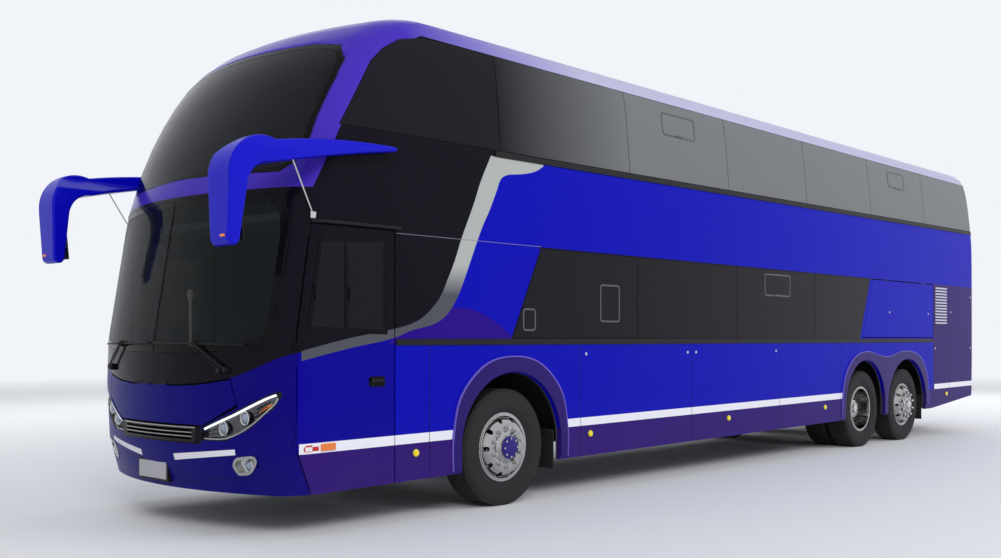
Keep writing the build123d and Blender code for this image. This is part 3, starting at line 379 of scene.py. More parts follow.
# %% The painted body
def coach_paint():
    """The whole scheme as one finish, by place."""
    paint = Finish("coach_paint", Coat_Weight=0.03, Coat_Roughness=0.03)
    paint.set("Specular IOR Level", 0.05)
    x, y, z = paint.place()
    ahead = x - axle_x
    line_low = 0.61 + (2.2 - ahead) * 0.0068
    on_side = (ahead + ((0.64 - z) | 0) * 0.375).below(2.22)
    # The front takes a darker blue than the sides: partly its own colour, partly painted shade.
    tint = paint.mix(on_side, front_blue_shaded, paint.mix(ahead.above(1.294), royal, door_blue))
    tint = paint.mix(z.below(line_low) * on_side, tint, skirt_violet)
    tint = paint.mix(ahead.below(bay_ahead) * z.below(2.26), tint, engine_aubergine)
    open_line = 1 - ahead.between(*line_gaps[0]) - ahead.between(*line_gaps[1])
    white = (z - line_low).between(0, 0.075) * open_line * ahead.between(tail_ahead, 2.20)
    width = abs(y)
    bumper_line = (
        (z - 0.552 - 0.10 * width).below(0) * (z - 0.500 - 0.113 * width).above(0) * width.between(0.24, 0.89)
        * (1 - on_side)
    )
    white = white | bumper_line
    tint = paint.mix(white, tint, line_white)
    crease = abs(z - 0.335 - 0.105 * width).below(0.0025) * width.below(1.05) * (1 - on_side)
    tint = paint.mix(crease * 0.8, tint, gloss_black)
    front_edge, rear_edge = (blade_edge(paint, z, points) for points in (blade_front, blade_rear))
    mask_edge = (1.08 + 0.121 * abs(y) ** 3) | 1.097
    black = (ahead - front_edge).above(0) * (z - mask_edge).above(0)
    blade = (ahead - rear_edge).above(0) * (ahead - front_edge).below(0) * z.between(1.27, 3.0) * on_side
    # The blade is painted darker below about 1.8 m and bright silver above: painted shade on its lower part.
    tint = paint.mix(
        blade, tint, paint.mix((z - 1.80).math("MULTIPLY", 4.0, clamp=True), blade_silver_shaded, blade_silver)
    )
    lower_band = (
        z.between(1.44, 2.25) * (ahead + 0.05 + (z - 1.46) * 0.48).below(0)
        * (ahead + 6.91 + (z - 1.45) * 0.39).above(0)
    )
    brow_edge = 1.87 + (2.93 - z) * 0.5 - ((z - 3.0) | 0) * 0.13 - ((z - 3.6) | 0) * 1.2
    brow = z.above(2.545) * (ahead - brow_edge).above(0)
    upper_band = (z - (nose_x - x) * sill_slope).above(2.972) * z.below(gutter_z)
    grille_gap = abs(y).below(0.575) * z.between(0.664, 0.803) * (1 - on_side)
    shoulder = (
        (z - 1.70 + (0.62 - ahead) ** 2 * 0.537).below(0) * z.above(1.40) * (ahead - rear_edge).below(0)
        * ahead.above(-0.2)
    )
    tint = paint.mix(shoulder, tint, shoulder_violet)
    black = (
        black | grille_gap | lower_band | upper_band
        | z.between(2.243, 2.258) * ahead.between(bay_ahead, -0.4)
    )
    tint = paint.mix(black, tint, gloss_black)
    tail_corner = ahead.below(tail_ahead) | ahead.below(-10.2) * abs(y).below(1.16)
    cap = brow | z.above(gutter_z) | tail_corner * z.above(2.975)
    # Behind the front the roof pales from lavender to near white: a painted sky reflection.
    paler_reflection = (1 - ahead).math("MULTIPLY_ADD", 0.42, 0.05, clamp=True)
    tint = paint.mix(cap, tint, paint.mix(paler_reflection, cap_lavender, roof_pale_reflection))
    dust = paint.noise(3.0) * (0.9 - z).math("MULTIPLY", 0.12, clamp=True)
    inside_wall = (width + ((z - 2.9) | 0) * 0.09).below(1.27) * z.below(3.80)
    inside_wall = inside_wall * (ahead - 1.15 - z.below(2.29) * 0.95).below(0)
    inside_wall = inside_wall * (ahead.above(-10.98) | width.below(1.1) * ahead.above(-11.095))
    inside_roof = z.below(4.045) * width.below(0.95) * ahead.between(-10.98, 1.0)
    inside = inside_wall | inside_roof
    tint = paint.mix(dust, tint, colour(96, 92, 110))
    paint.set("Base Color", paint.mix(inside, tint, inner_grey))
    paint.set("Metallic", blade * 0.55 * (1 - inside))
    paint.set("Roughness", 0.3 + 0.08 * paint.noise(40) - 0.18 * black + 0.1 * white)
    return paint.material


coach_skin = coach_paint()
print("paint nodes:", len(coach_skin.node_tree.nodes))

# %% [markdown]
# ## Glass, plastic, rubber and metal
# Side glass is tinted almost black and the screens are only lightly tinted, so each is a thin pane
# that lets part of the view through. Plastics and rubber have a fine grain in their bump, cast and
# polished metals a fine streak in their roughness.

# %% Panes
def pane(name, tint, seen_through, rough=0.02):
    """Thin glass: its own tint over what lies behind."""
    glass = Finish(name, Base_Color=tint, Alpha=1 - seen_through, IOR=1.5)
    glass.set("Roughness", rough + 0.015 * glass.noise(1.5))
    return glass


side_glass = pane("side_glass", colour(14, 13, 18), 0.10)
x, _, z = side_glass.place()
# The upper panes behind the front axle are painted pale grey: a painted sky reflection on the dark glass.
sky_reflection_mask = (axle_x + 0.1 - x).math("MULTIPLY", 0.5, clamp=True) * z.above(2.7)
side_glass.set("Base Color", side_glass.mix(sky_reflection_mask, colour(20, 18, 26), colour(116, 118, 120)))
side_glass.set("Specular IOR Level", 0.12)
side_glass = side_glass.material
screen_glass = pane("screen_glass", colour(26, 32, 34), 0.62)
upper_glass = pane("upper_screen_glass", colour(18, 20, 26), 0.4)
for glass in (screen_glass, upper_glass):
    glass.set("Specular IOR Level", 0.15)
screen_glass, upper_glass = screen_glass.material, upper_glass.material


# %% Plastics, rubber and fabric
def grained(name, tint, rough, grain, height, spread=0.12, **settings):
    """A finish whose colour and roughness drift a little and whose surface has a fine grain."""
    finish = Finish(name, **settings)
    cloud = finish.noise(6)
    darker = [part * (1 - spread) for part in tint[:3]] + [1]
    finish.set("Base Color", finish.mix(cloud * spread * 2, tint, darker))
    finish.set("Roughness", rough + 0.1 * (cloud - 0.5))
    finish.bump(finish.noise(grain, 2.0), height)
    return finish.material


def plain(name, tint, rough, **settings):
    """A finish of one colour throughout."""
    return Finish(name, Base_Color=tint, Roughness=rough, **settings).material


black_plastic = grained("black_plastic", colour(20, 20, 22), 0.42, 900, 0.0002, Specular_IOR_Level=0.2)
gloss_trim = grained("gloss_trim", colour(12, 11, 14), 0.12, 60, 0.00005, Specular_IOR_Level=0.08)
rubber = grained("tyre_rubber", colour(30, 30, 31), 0.78, 300, 0.0006, 0.3)
chassis_black = grained("chassis_paint", colour(38, 38, 40), 0.6, 120, 0.0006, 0.3)
flooring = grained("floor_covering", colour(86, 88, 94), 0.7, 500, 0.0004)
polished = grained("polished_alloy", colour(172, 172, 170), 0.12, 400, 0.00004, 0.06, Metallic=1.0)
chrome = grained("chrome", colour(204, 204, 202), 0.05, 300, 0.00002, 0.04, Metallic=1.0)


def cloth(name, ground, thread):
    """Moquette: short diagonal threads of a second colour in a ribbed ground."""
    finish = Finish(name, Roughness=0.9)
    x, y, z = finish.place()
    weave = ((x + y + z) * 260).math("SINE") * ((x - y + z * 0.7) * 210).math("SINE")
    finish.set("Base Color", finish.mix(weave.above(0.35, 0.3), ground, thread))
    finish.set("Sheen Weight", 0.3)
    finish.bump(weave, 0.0006)
    return finish.material


seat_cloth = cloth("seat_cloth", colour(36, 40, 62), colour(92, 98, 130))
print(len(bpy.data.materials), "finishes")

# %% [markdown]
# ## The frame's own panels
# The frame arrives as loose triangles with flat faces. A painted panel should look smooth where it
# curves and crisp where it folds, so a merged copy stands for each one, with sharp edges only where
# two faces meet at more than a set angle.

# %% Smooth copies of the frame's pieces
node_finish = {
    coach_skin: [
        "front_bumper", "front_shell", "front_lid", "driver_door", "passenger_door", "left_wall",
        "right_wall", "left_luggage_door", "right_luggage_door", "rear_wall", "engine_cover"
    ] + [node for node in nodes if "roof" in node],
    side_glass: ["fixed_windows", "driver_door_window", "passenger_door_window"],
    screen_glass: ["lower_windscreen"], upper_glass: ["upper_windscreen"],
    black_plastic: ["grille", "passenger_door_arm", "steering_wheel", "dashboard", "wheel_housings"],
    polished: [node for node in nodes if "_rim" in node],
    chassis_black: ["engine"] + [
        node for node in nodes if any(part in node for part in ("_frame", "_axle", "_knuckle"))
    ],
    flooring: ["lower_floor", "upper_floor", "staircase", "luggage_bay"]
}
slot_of = {
    coach_skin: "body_paint", side_glass: "dark_glass", screen_glass: "screen_glass",
    upper_glass: "screen_glass", black_plastic: "black_plastic", rubber: "tyre_rubber",
    polished: "polished_rim", chassis_black: "chassis_steel", flooring: "floor_covering",
    seat_cloth: "seat_fabric", gloss_trim: "black_plastic"
}


def new_piece(name, mesh, body, finish, slot=None, fold=28):
    """Put a mesh on show, shaded smooth, in one finish and riding on a body."""
    mesh = smooth(mesh, fold)
    piece = shown(name, mesh)
    mesh.materials.clear()
    mesh.materials.append(finish)
    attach(piece, body)
    slot = slot or slot_of.get(finish)
    return piece


def edited(mesh, change):
    """The mesh, after change(shape) has worked on it as a bmesh."""
    shape = bmesh.new()
    shape.from_mesh(mesh)
    change(shape)
    shape.to_mesh(mesh)
    shape.free()
    return mesh


def baked(holder):
    """An object's mesh with its modifiers applied. The object itself goes."""
    mesh = bpy.data.meshes.new_from_object(holder.evaluated_get(bpy.context.evaluated_depsgraph_get()))
    bpy.data.objects.remove(holder)
    return mesh


def merged(node):
    """A copy of a node's mesh with its shared corners joined."""
    def join(shape):
        bmesh.ops.remove_doubles(shape, verts=shape.verts, dist=0.00002)
        bmesh.ops.dissolve_degenerate(shape, dist=0.00001, edges=shape.edges)
    return edited(nodes[node].data.copy(), join)


def smooth(mesh, fold=28):
    """Shade smooth, but keep sharp the edges that fold by more than so many degrees."""
    mesh.shade_smooth()
    mesh.set_sharp_from_angle(angle=math.radians(fold))
    holder = shown("holder", mesh)
    level = holder.modifiers.new("level", "WEIGHTED_NORMAL")
    level.keep_sharp, level.weight = True, 100
    return baked(holder)


for finish, members in node_finish.items():
    for node in members:
        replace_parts(new_piece("skin_" + node, merged(node), body_of[node], finish), node)
print("copied", sum(len(members) for members in node_finish.values()), "pieces")

# %% [markdown]
# ## Finding the skin
# Trim follows the body's skin, so each piece is drawn flat, in the front or the side view, and laid
# on the skin by casting a ray at it. A flat outline is first filled with a fine net of triangles,
# so that it can bend with the skin, then it gets its thickness.

# %% Rays at the body
def tree_of(*names):
    """A search tree over the faces of some nodes."""
    shape = bmesh.new()
    for name in names:
        shape.from_mesh(nodes[name].data)
    tree = BVHTree.FromBMesh(shape)
    shape.free()
    return tree


shell_tree = tree_of(
    *[node for node in nodes if body_of[node] == "body" and "frame" not in node and node != "mirrors"],
    "driver_door", "passenger_door", "driver_door_window", "passenger_door_window", "left_luggage_door",
    "right_luggage_door", "front_lid", "engine_cover"
)
far = 9.0


def lay(point, view, lift=0.0):
    """The flat point (across, up) of a view, laid on the skin and lifted off it along its normal.

    A view is front, tail, left or right. Across is Y in the front and tail views and X in the others.
    """
    across, up = point
    start, aim = {
        "front": ((far, across, up), (-1, 0, 0)), "tail": ((-far, across, up), (1, 0, 0)),
        "left": ((across, far, up), (0, -1, 0)), "right": ((across, -far, up), (0, 1, 0)),
    }[view]
    hit, normal, _, _ = shell_tree.ray_cast(Vector(start), Vector(aim))
    if hit is None:
        raise ValueError(f"nothing lies under {point} in the {view} view")
    if normal.dot(Vector(aim)) > 0:
        normal = -normal
    return hit + normal * lift, normal


def dense(points, step, closed=True):
    """The same outline with points at most a step apart."""
    out = []
    ring = list(points) + ([points[0]] if closed else [])
    for a, b in zip(ring, ring[1:]):
        a, b = Vector(a), Vector(b)
        count = max(1, math.ceil((b - a).length / step))
        out += [a.lerp(b, i / count) for i in range(count)]
    return out if closed else out + [Vector(points[-1])]


def turn_of(outline):
    """Twice the area of an outline: more than 0 if it runs anticlockwise."""
    return sum(a[0] * b[1] - b[0] * a[1] for a, b in zip(outline, [*outline[1:], outline[0]]))


def holds(outline, point):
    """Whether an outline goes round a point."""
    within = False
    for (ax, ay), (bx, by) in zip(outline, [*outline[1:], outline[0]]):
        if (ay > point[1]) != (by > point[1]) and point[0] < ax + (point[1] - ay) / (by - ay) * (bx - ax):
            within = not within
    return within


def patch(outline, view, lift, depth, step=0.05, hole=None):
    """A thin panel of that outline on the skin.

    Its face is lifted off the skin and its back lies a depth below the face. hole is a second
    outline, inside the first, that is left open.
    """
    rings = [dense(ring if turn_of(ring) > 0 else ring[::-1], step) for ring in (outline, hole) if ring]
    rim = rings[0]
    corners = [point for ring in rings for point in ring]
    edges, first = [], 0
    for ring in rings:
        edges += [(first + i, first + (i + 1) % len(ring)) for i in range(len(ring))]
        first += len(ring)
    low = [min(point[k] for point in rim) for k in (0, 1)]
    high = [max(point[k] for point in rim) for k in (0, 1)]
    columns, rows = [max(1, math.ceil((high[k] - low[k]) / step)) for k in (0, 1)]
    net = [
        Vector((low[0] + (i + 0.5 * (j % 2)) * step, low[1] + j * step)) for i in range(columns)
        for j in range(1, rows)
    ]
    net = [p for p in net if min((p - c).length for c in corners) > 0.55 * step]
    flat, _, faces, _, _, _ = delaunay_2d_cdt(corners + net, edges, [], 1, 1e-6)

    def left_open(face):
        return hole and holds(hole, sum((flat[i] for i in face), Vector((0, 0))) / 3)
    faces = [face for face in faces if not left_open(face)]
    used = sorted({i for face in faces for i in face})
    index = {old: new for new, old in enumerate(used)}
    faces = [[index[i] for i in face] for face in faces]
    laid = [lay(flat[i], view) for i in used]
    top = [point + normal * lift for point, normal in laid]
    bottom = [point + normal * (lift - depth) for point, normal in laid]
    count = len(used)
    border = {}
    for face in faces:
        for a, b in zip(face, list(face[1:]) + [face[0]]):
            border[(a, b)] = border.get((b, a), 0) + 1
    sides = [(a, b) for (a, b) in border if (b, a) not in border]
    back = [tuple(i + count for i in reversed(face)) for face in faces]
    walls = [(b, a, a + count, b + count) for a, b in sides]
    return outward(mesh_of(top + bottom, faces + back + walls, "patch"))


def outward(mesh):
    """Turn every face of a closed mesh to point outwards."""
    return edited(mesh, lambda shape: bmesh.ops.recalc_face_normals(shape, faces=shape.faces))


def joined(*meshes):
    """Several meshes as one."""
    def gather(shape):
        for mesh in meshes:
            shape.from_mesh(mesh)
    return edited(bpy.data.meshes.new(meshes[0].name), gather)


def mirrored(mesh):
    """The kerb-side twin of a driver-side mesh."""
    twin = mesh.copy()
    twin.transform(Matrix.Scale(-1, 4, (0, 1, 0)))
    twin.flip_normals()
    return twin


# %% [markdown]
# ## Geometry Nodes for what repeats
# Nuts, tread blocks, slats and screws are one small shape many times over. A node tree repeats the
# shape by rule, so a wheel with twelve nuts is a change of one number. Each tree below is built from
# named inputs, and its result is baked to a plain mesh.

# %% A tree of geometry nodes with named inputs
class Pattern:
    """A geometry node tree: give it named sizes, add nodes, and bake it to a mesh."""

    def __init__(self, name, **sizes):
        self.tree = bpy.data.node_groups.new(name, "GeometryNodeTree")
        self.tree.interface.new_socket("Geometry", in_out="OUTPUT", socket_type="NodeSocketGeometry")
        self.ids = {}
        kinds = {int: "NodeSocketInt", float: "NodeSocketFloat"}
        for size, value in sizes.items():
            socket = self.tree.interface.new_socket(size, in_out="INPUT", socket_type=kinds[type(value)])
            self.ids[size] = socket.identifier
        self.sizes = sizes
        self.inputs = self.tree.nodes.new("NodeGroupInput")
        self.end = self.tree.nodes.new("NodeGroupOutput")

    def size(self, name):
        return self.inputs.outputs[name]

    def put(self, kind, settings=None, out=0, **sockets):
        """Add a node with its settings, and its sockets by name, from numbers or other nodes' outputs."""
        node = self.tree.nodes.new(kind)
        for key, setting in (settings or {}).items():
            setattr(node, key, setting)
        for key, value in sockets.items():
            socket = node.inputs[key.replace("_", " ")]
            if isinstance(value, bpy.types.NodeSocket):
                self.tree.links.new(value, socket)
            else:
                socket.default_value = value
        return node.outputs[out]

    def bake(self, geometry, finish):
        """Realize the result, give it its finish and return it as a plain mesh."""
        real = self.put("GeometryNodeRealizeInstances", Geometry=geometry)
        painted = self.put("GeometryNodeSetMaterial", Geometry=real, Material=finish)
        self.tree.links.new(painted, self.end.inputs[0])
        holder = shown("holder", bpy.data.meshes.new("holder"))
        modifier = holder.modifiers.new("pattern", "NODES")
        modifier.node_group = self.tree
        for size, value in self.sizes.items():
            modifier[self.ids[size]] = value
        return baked(holder)


def repeated(name, shape, finish, points_of, **sizes):
    """A shape's mesh on each point that points_of(pattern) makes, turned by the rotation that it gives."""
    pattern = Pattern(name, **sizes)
    holder = bpy.data.objects.new("shape", shape)
    points, turn = points_of(pattern)
    source = pattern.put(
        "GeometryNodeObjectInfo", {"transform_space": "ORIGINAL"}, out="Geometry", Object=holder
    )
    placed = pattern.put("GeometryNodeInstanceOnPoints", Points=points, Instance=source, **turn)
    mesh = pattern.bake(placed, finish)
    bpy.data.objects.remove(holder)
    return mesh


def ring(name, shape, finish, count, radius):
    """A shape repeated round the Z axis; its own X points outwards."""
    def points(pattern):
        number, reach = pattern.size("Count"), pattern.size("Radius")
        circle = pattern.put("GeometryNodeMeshCircle", Vertices=number, Radius=reach)
        place = pattern.put("GeometryNodeInputPosition")
        turn = pattern.put("FunctionNodeAlignRotationToVector", {"axis": "X"}, Vector=place)
        return circle, {"Rotation": turn}
    return repeated(name, shape, finish, points, Count=count, Radius=float(radius))


def row(name, shape, finish, count, step):
    """A shape repeated along a line, from the origin, by a step (x, y, z)."""
    def points(pattern):
        offset = pattern.put("ShaderNodeCombineXYZ", **{axis: pattern.size("Step" + axis) for axis in "XYZ"})
        return pattern.put("GeometryNodeMeshLine", Count=pattern.size("Count"), Offset=offset), {}
    steps = {"Step" + axis: float(part) for axis, part in zip("XYZ", step)}
    return repeated(name, shape, finish, points, Count=count, **steps)


# %% [markdown]
# ## Solids in code
# Most trim is turned, extruded or a rounded box. Three makers cover them: one spins a section round
# an axle, one gives a box soft edges and one rounds the edges of any mesh.

# %% Makers of solids
def spun(section, steps=64):
    """A closed ring or a solid with poles, spun round Z from (radius, height) points."""
    closed = section[0][0] > 0
    count = len(section)

    def sweep(shape):
        turns = [2 * math.pi * i / steps for i in range(steps)]
        columns = [[shape.verts.new((r * math.cos(turn), r * math.sin(turn), h)) for r, h in section]
                   for turn in turns]
        for a, b in zip(columns, columns[1:] + columns[:1]):
            for j in range(count if closed else count - 1):
                shape.faces.new((a[j], b[j], b[(j + 1) % count], a[(j + 1) % count]))
        bmesh.ops.remove_doubles(shape, verts=shape.verts, dist=1e-6)
        bmesh.ops.recalc_face_normals(shape, faces=shape.faces)
    return edited(bpy.data.meshes.new("spun"), sweep)


def box(size, centre=(0, 0, 0), edge=0.0, rounds=2):
    """A box with its edges rounded by edge."""
    def cut(shape):
        bmesh.ops.create_cube(shape, size=1.0)
        bmesh.ops.scale(shape, vec=size, verts=shape.verts)
        bmesh.ops.translate(shape, vec=centre, verts=shape.verts)
        if edge:
            bmesh.ops.bevel(
                shape, geom=shape.edges, offset=edge, segments=rounds, profile=0.5, affect="EDGES"
            )
    return edited(bpy.data.meshes.new("box"), cut)


def softened(mesh, edge, fold=40, rounds=2):
    """The mesh with every edge that folds by more than fold degrees rounded."""
    def ease(shape):
        sharp = [
            e for e in shape.edges if len(e.link_faces) == 2 and e.calc_face_angle(0) > math.radians(fold)
        ]
        bmesh.ops.bevel(
            shape, geom=sharp, offset=edge, segments=rounds, profile=0.5, affect="EDGES", clamp_overlap=True
        )
    return edited(mesh, ease)


def placed(mesh, move=(0, 0, 0), turn=(0, 0, 0)):
    """The mesh turned by degrees about X, Y, Z in turn, then moved."""
    matrix = Matrix.Translation(move)
    for angle, axis in zip(reversed(turn), "ZYX"):
        matrix = matrix @ Matrix.Rotation(math.radians(angle), 4, axis)
    mesh.transform(matrix)
    return mesh


def both(name, mesh, finish, slot=None, fold=30):
    """The driver-side piece and its kerb-side twin, as one piece on the body."""
    return new_piece(name, joined(mesh, mirrored(mesh)), "body", finish, slot, fold)


# %% [markdown]
# ## Wheels
# Each tyre has a rounded wall with a raised ring that guards the rim, and a tread of separate
# blocks: narrow cuts between them on the guiding wheels, wide ones on the driven twins. The tread is
# one block repeated round the tyre, five blocks side by side.

# %% Tyre and tread
tread_deep = 0.011
carcass_r = tyre_r - tread_deep
guide_blocks, drive_blocks = 96, 64       # tread blocks round a tyre, in each of its rows
tread_rows = ((-0.104, 0.040), (-0.052, 0.042), (0, 0.042), (0.052, 0.042), (0.104, 0.040))
tyre_section = [
    (0.287, 0.107), (0.301, 0.112), (0.306, 0.121), (0.316, 0.126), (0.326, 0.127), (0.338, 0.134),
    (0.352, 0.139), (0.356, 0.142), (0.364, 0.142), (0.370, 0.140), (0.395, 0.1445), (0.420, 0.1445),
    (0.442, 0.142), (0.446, 0.1435), (0.455, 0.142), (0.470, 0.137), (0.482, 0.132), (0.489, 0.124),
    (carcass_r, 0.112)
]


def tyre(blocks, gap):
    """A tyre round Z, centred on its middle plane, with so many blocks round its tread."""
    wall = tyre_section + [(r, -h) for r, h in reversed(tyre_section)]
    carcass = spun(wall, 96)
    long = 2 * math.pi * tyre_r / blocks
    parts = [carcass]
    for place, wide in tread_rows:
        block = box((0.018, long - gap, wide), edge=0.0012, rounds=1)
        ribs = ring("tread", block, rubber, blocks, tyre_r - 0.009 - (0.0015 if abs(place) > 0.1 else 0))
        stagger = 0.5 * 360 / blocks if abs(place) == 0.052 else 0
        parts.append(placed(ribs, (0, 0, place), (0, 0, stagger)))
    return joined(*parts)


def on_axle(mesh, x, y, side=1):
    """Lay a shape that was made round Z onto an axle: its Z points out to the given side."""
    mesh = placed(mesh, turn=(-90, 0, 0))
    if side < 0:
        mesh = mirrored(mesh)
    mesh.transform(Matrix.Translation((x, y, wheel_z)))
    return mesh


track_y = 1.122
inner_y = track_y - 0.334
sides = (("left", 1), ("right", -1))
for axle, x, blocks, gap, rows_y in (
    ("front", axle_x, guide_blocks, 0.003, [track_y]), ("tag", tag_x, guide_blocks, 0.003, [track_y]),
    ("drive", drive_x, drive_blocks, 0.012, [track_y, inner_y]),
):
    for word, side in sides:
        node = f"{axle}_{word}_tyre" + ("s" if axle == "drive" else "")
        meshes = [on_axle(tyre(blocks, gap), x, side * y, side) for y in rows_y]
        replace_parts(new_piece(node + "_rubber", joined(*meshes), body_of[node], rubber, fold=35), node)
print("tyre radius", tyre_r, "tread blocks", guide_blocks * len(tread_rows))

# %% [markdown]
# ## Wheel nuts and hub caps
# Ten nuts hold each wheel. The front axle shows a blue cap among bare nuts, the tag axle a chrome
# cover over every nut, and the driven twins a deep dish with the flange of the half-shaft.

# %% Nuts, covers and caps
nut = joined(
    spun([(0, 0), (0.023, 0), (0.023, 0.005), (0, 0.005)], 24),
    spun([(0, 0.005), (0.0205, 0.005), (0.0205, 0.024), (0.0185, 0.027), (0, 0.027)], 6),
    spun([(0, 0.027), (0.010, 0.027), (0.010, 0.038), (0.008, 0.040), (0, 0.040)], 16),
)
nut_cover = spun(
    [
        (0, 0), (0.025, 0), (0.025, 0.004), (0.021, 0.008), (0.020, 0.040), (0.015, 0.050), (0.006, 0.055),
        (0, 0.055)
    ],
    20
)
bolt = spun([(0, 0), (0.0105, 0), (0.0105, 0.008), (0.009, 0.010), (0, 0.010)], 6)
valve = joined(
    spun([(0, 0), (0.006, 0), (0.006, 0.030), (0, 0.030)], 12),
    spun([(0, 0.030), (0.0045, 0.030), (0.0045, 0.062), (0, 0.062)], 12)
)
mount_face, dish_face, nut_pcr, nuts_each = 0.167, -0.155, 0.1675, 10
blue_cap_paint = plain("hub_cap_paint", colour(40, 24, 116), 0.25, Coat_Weight=0.1, Specular_IOR_Level=0.2)


def wheel_metal(nut_shape, face, cap, bolts):
    """Chrome parts of one wheel about Z: its nuts, its cap (radius, height points) and the cap's bolts."""
    radius, height, count = bolts
    parts = [
        placed(ring("nuts", nut_shape, chrome, nuts_each, nut_pcr), (0, 0, face), (0, 0, 18)),
        placed(ring("bolts", bolt, chrome, count, radius), (0, 0, height)),
        placed(spun([(0.274, 0), (0.2795, 0), (0.2795, 0.006), (0.274, 0.006)], 96), (0, 0, 0.116)),
        placed(valve.copy(), (0.252, 0, abs(face) * 0.62), (0, 35, 0)),
    ]
    if cap:
        parts.append(spun(cap, 48))
    return joined(*parts)


front_cap = [
    (0, 0.190), (0.099, 0.190), (0.099, 0.203), (0.094, 0.209), (0.060, 0.212), (0.055, 0.216), (0, 0.217)
]
tag_cap = [
    (0, 0.180), (0.097, 0.180), (0.097, 0.192), (0.088, 0.198), (0.062, 0.202), (0.058, 0.222),
    (0.045, 0.228), (0, 0.230)
]
drive_cap = [
    (0, 0.015), (0.116, 0.015), (0.116, 0.026), (0.108, 0.032), (0.066, 0.034), (0.062, 0.050),
    (0.050, 0.056), (0, 0.058)
]
for axle, x, shape, face, cap, bolts in (
    ("front", axle_x, nut, mount_face, None, (0.079, 0.2105, 8)),
    ("tag", tag_x, nut_cover, mount_face, tag_cap, (0.078, 0.198, 8)),
    ("drive", drive_x, nut, dish_face, drive_cap, (0.090, 0.0325, 10))
):
    for word, side in sides:
        wheel = body_of[f"{axle}_{word}_rim" + ("s" if axle == "drive" else "")]
        metal = on_axle(wheel_metal(shape, face, cap, bolts), x, side * track_y, side)
        new_piece(f"{axle}_{word}_wheel_metal", metal, wheel, chrome, "polished_rim", fold=35)
        if axle == "front":
            hub = on_axle(spun(front_cap, 48), x, side * track_y, side)
            new_piece(f"front_{word}_hub_cap", hub, wheel, blue_cap_paint, "front_paint", fold=35)
print("nuts:", 3 * len(sides) * nuts_each, "on a circle of", 2 * nut_pcr, "m")

# %% [markdown]
# ## Arches, flaps and mouldings
# A raised lip follows each wheel arch, with a pale strip along its outer edge that is a painted
# highlight. Rubber flaps hang behind the wheels and black mouldings run along the sides.

# %% Arch lips
arch_shift, arch_top, flank_z = 0.065, 1.150, wheel_z + 0.100


def on_circle(x, y, radius, turn):
    """The point of a circle at an angle."""
    return (x + radius * math.cos(turn), y + radius * math.sin(turn))


def arc(a, b, c, count):
    """Points on the circle through three points, from a to c by way of b."""
    (ax, ay), (bx, by), (cx, cy) = a, b, c
    d = 2 * (ax * (by - cy) + bx * (cy - ay) + cx * (ay - by))
    a2, b2, c2 = (x * x + y * y for x, y in (a, b, c))
    ux = (a2 * (by - cy) + b2 * (cy - ay) + c2 * (ay - by)) / d
    uy = (a2 * (cx - bx) + b2 * (ax - cx) + c2 * (bx - ax)) / d
    radius = math.hypot(ax - ux, ay - uy)
    start, end = (math.atan2(y - uy, x - ux) for x, y in (a, c))
    return [on_circle(ux, uy, radius, start + (end - start) * i / count) for i in range(count + 1)]


def bend(p, q, r, s, t):
    """One coordinate of a smooth curve from q to r, a part t along it, that p and s help to steer."""
    return 0.5 * (
        2 * q + (r - p) * t + (2 * p - 5 * q + 4 * r - s) * t * t + (3 * q - p - 3 * r + s) * t ** 3
    )


def flow(points, count=8):
    """A smooth line through points, with so many steps between each two."""
    ends = [points[0], *points, points[-1]]
    out = []
    for four in zip(ends, ends[1:], ends[2:], ends[3:]):
        out += [tuple(bend(*parts, i / count) for parts in zip(*four)) for i in range(count)]
    return out + [tuple(points[-1])]


def opening(x, ahead, astern, inset=0.006):
    """The edge of a wheel arch in the side view, from its front foot over the top, a little outside it."""
    return arc(
        (x + ahead + inset, flank_z), (x - arch_shift, arch_top + inset), (x - astern - inset, flank_z), 24
    )


front_foot, rear_foot = 0.350, 0.415
front_inner = [
    (axle_x + 0.571, front_foot), *opening(axle_x, 0.565, 0.695), (axle_x - 0.701, front_foot + 0.02)
]
front_lip = [
    (0.665, front_foot), (0.665, 0.62), (0.575, 0.96), (0.29, 1.215), (-0.065, 1.285), (-0.42, 1.215),
    (-0.705, 0.96), (-0.795, 0.62), (-0.795, front_foot + 0.02)
]
front_outer = flow([(axle_x + ahead, z) for ahead, z in front_lip])
rear_inner = [
    (drive_x + 0.571, rear_foot), *opening(drive_x, 0.565, 0.615), (drive_x - 0.621, rear_foot),
    (tag_x + 0.621, rear_foot), *opening(tag_x, 0.615, 0.695), (tag_x - 0.701, rear_foot + 0.05)
]
rear_lip = [
    (drive_x + 0.665, rear_foot), (drive_x + 0.665, 0.62), (drive_x + 0.575, 0.96), (drive_x + 0.29, 1.20),
    (drive_x - 0.1, 1.265), ((drive_x + tag_x) / 2, 1.19), (tag_x + 0.1, 1.265), (tag_x - 0.42, 1.20),
    (tag_x - 0.705, 0.96), (tag_x - 0.795, 0.62), (tag_x - 0.795, rear_foot + 0.05)
]
rear_outer = flow(rear_lip)
lip_paint = plain("arch_lip_paint", colour(38, 18, 100), 0.3, Coat_Weight=0.05, Specular_IOR_Level=0.1)
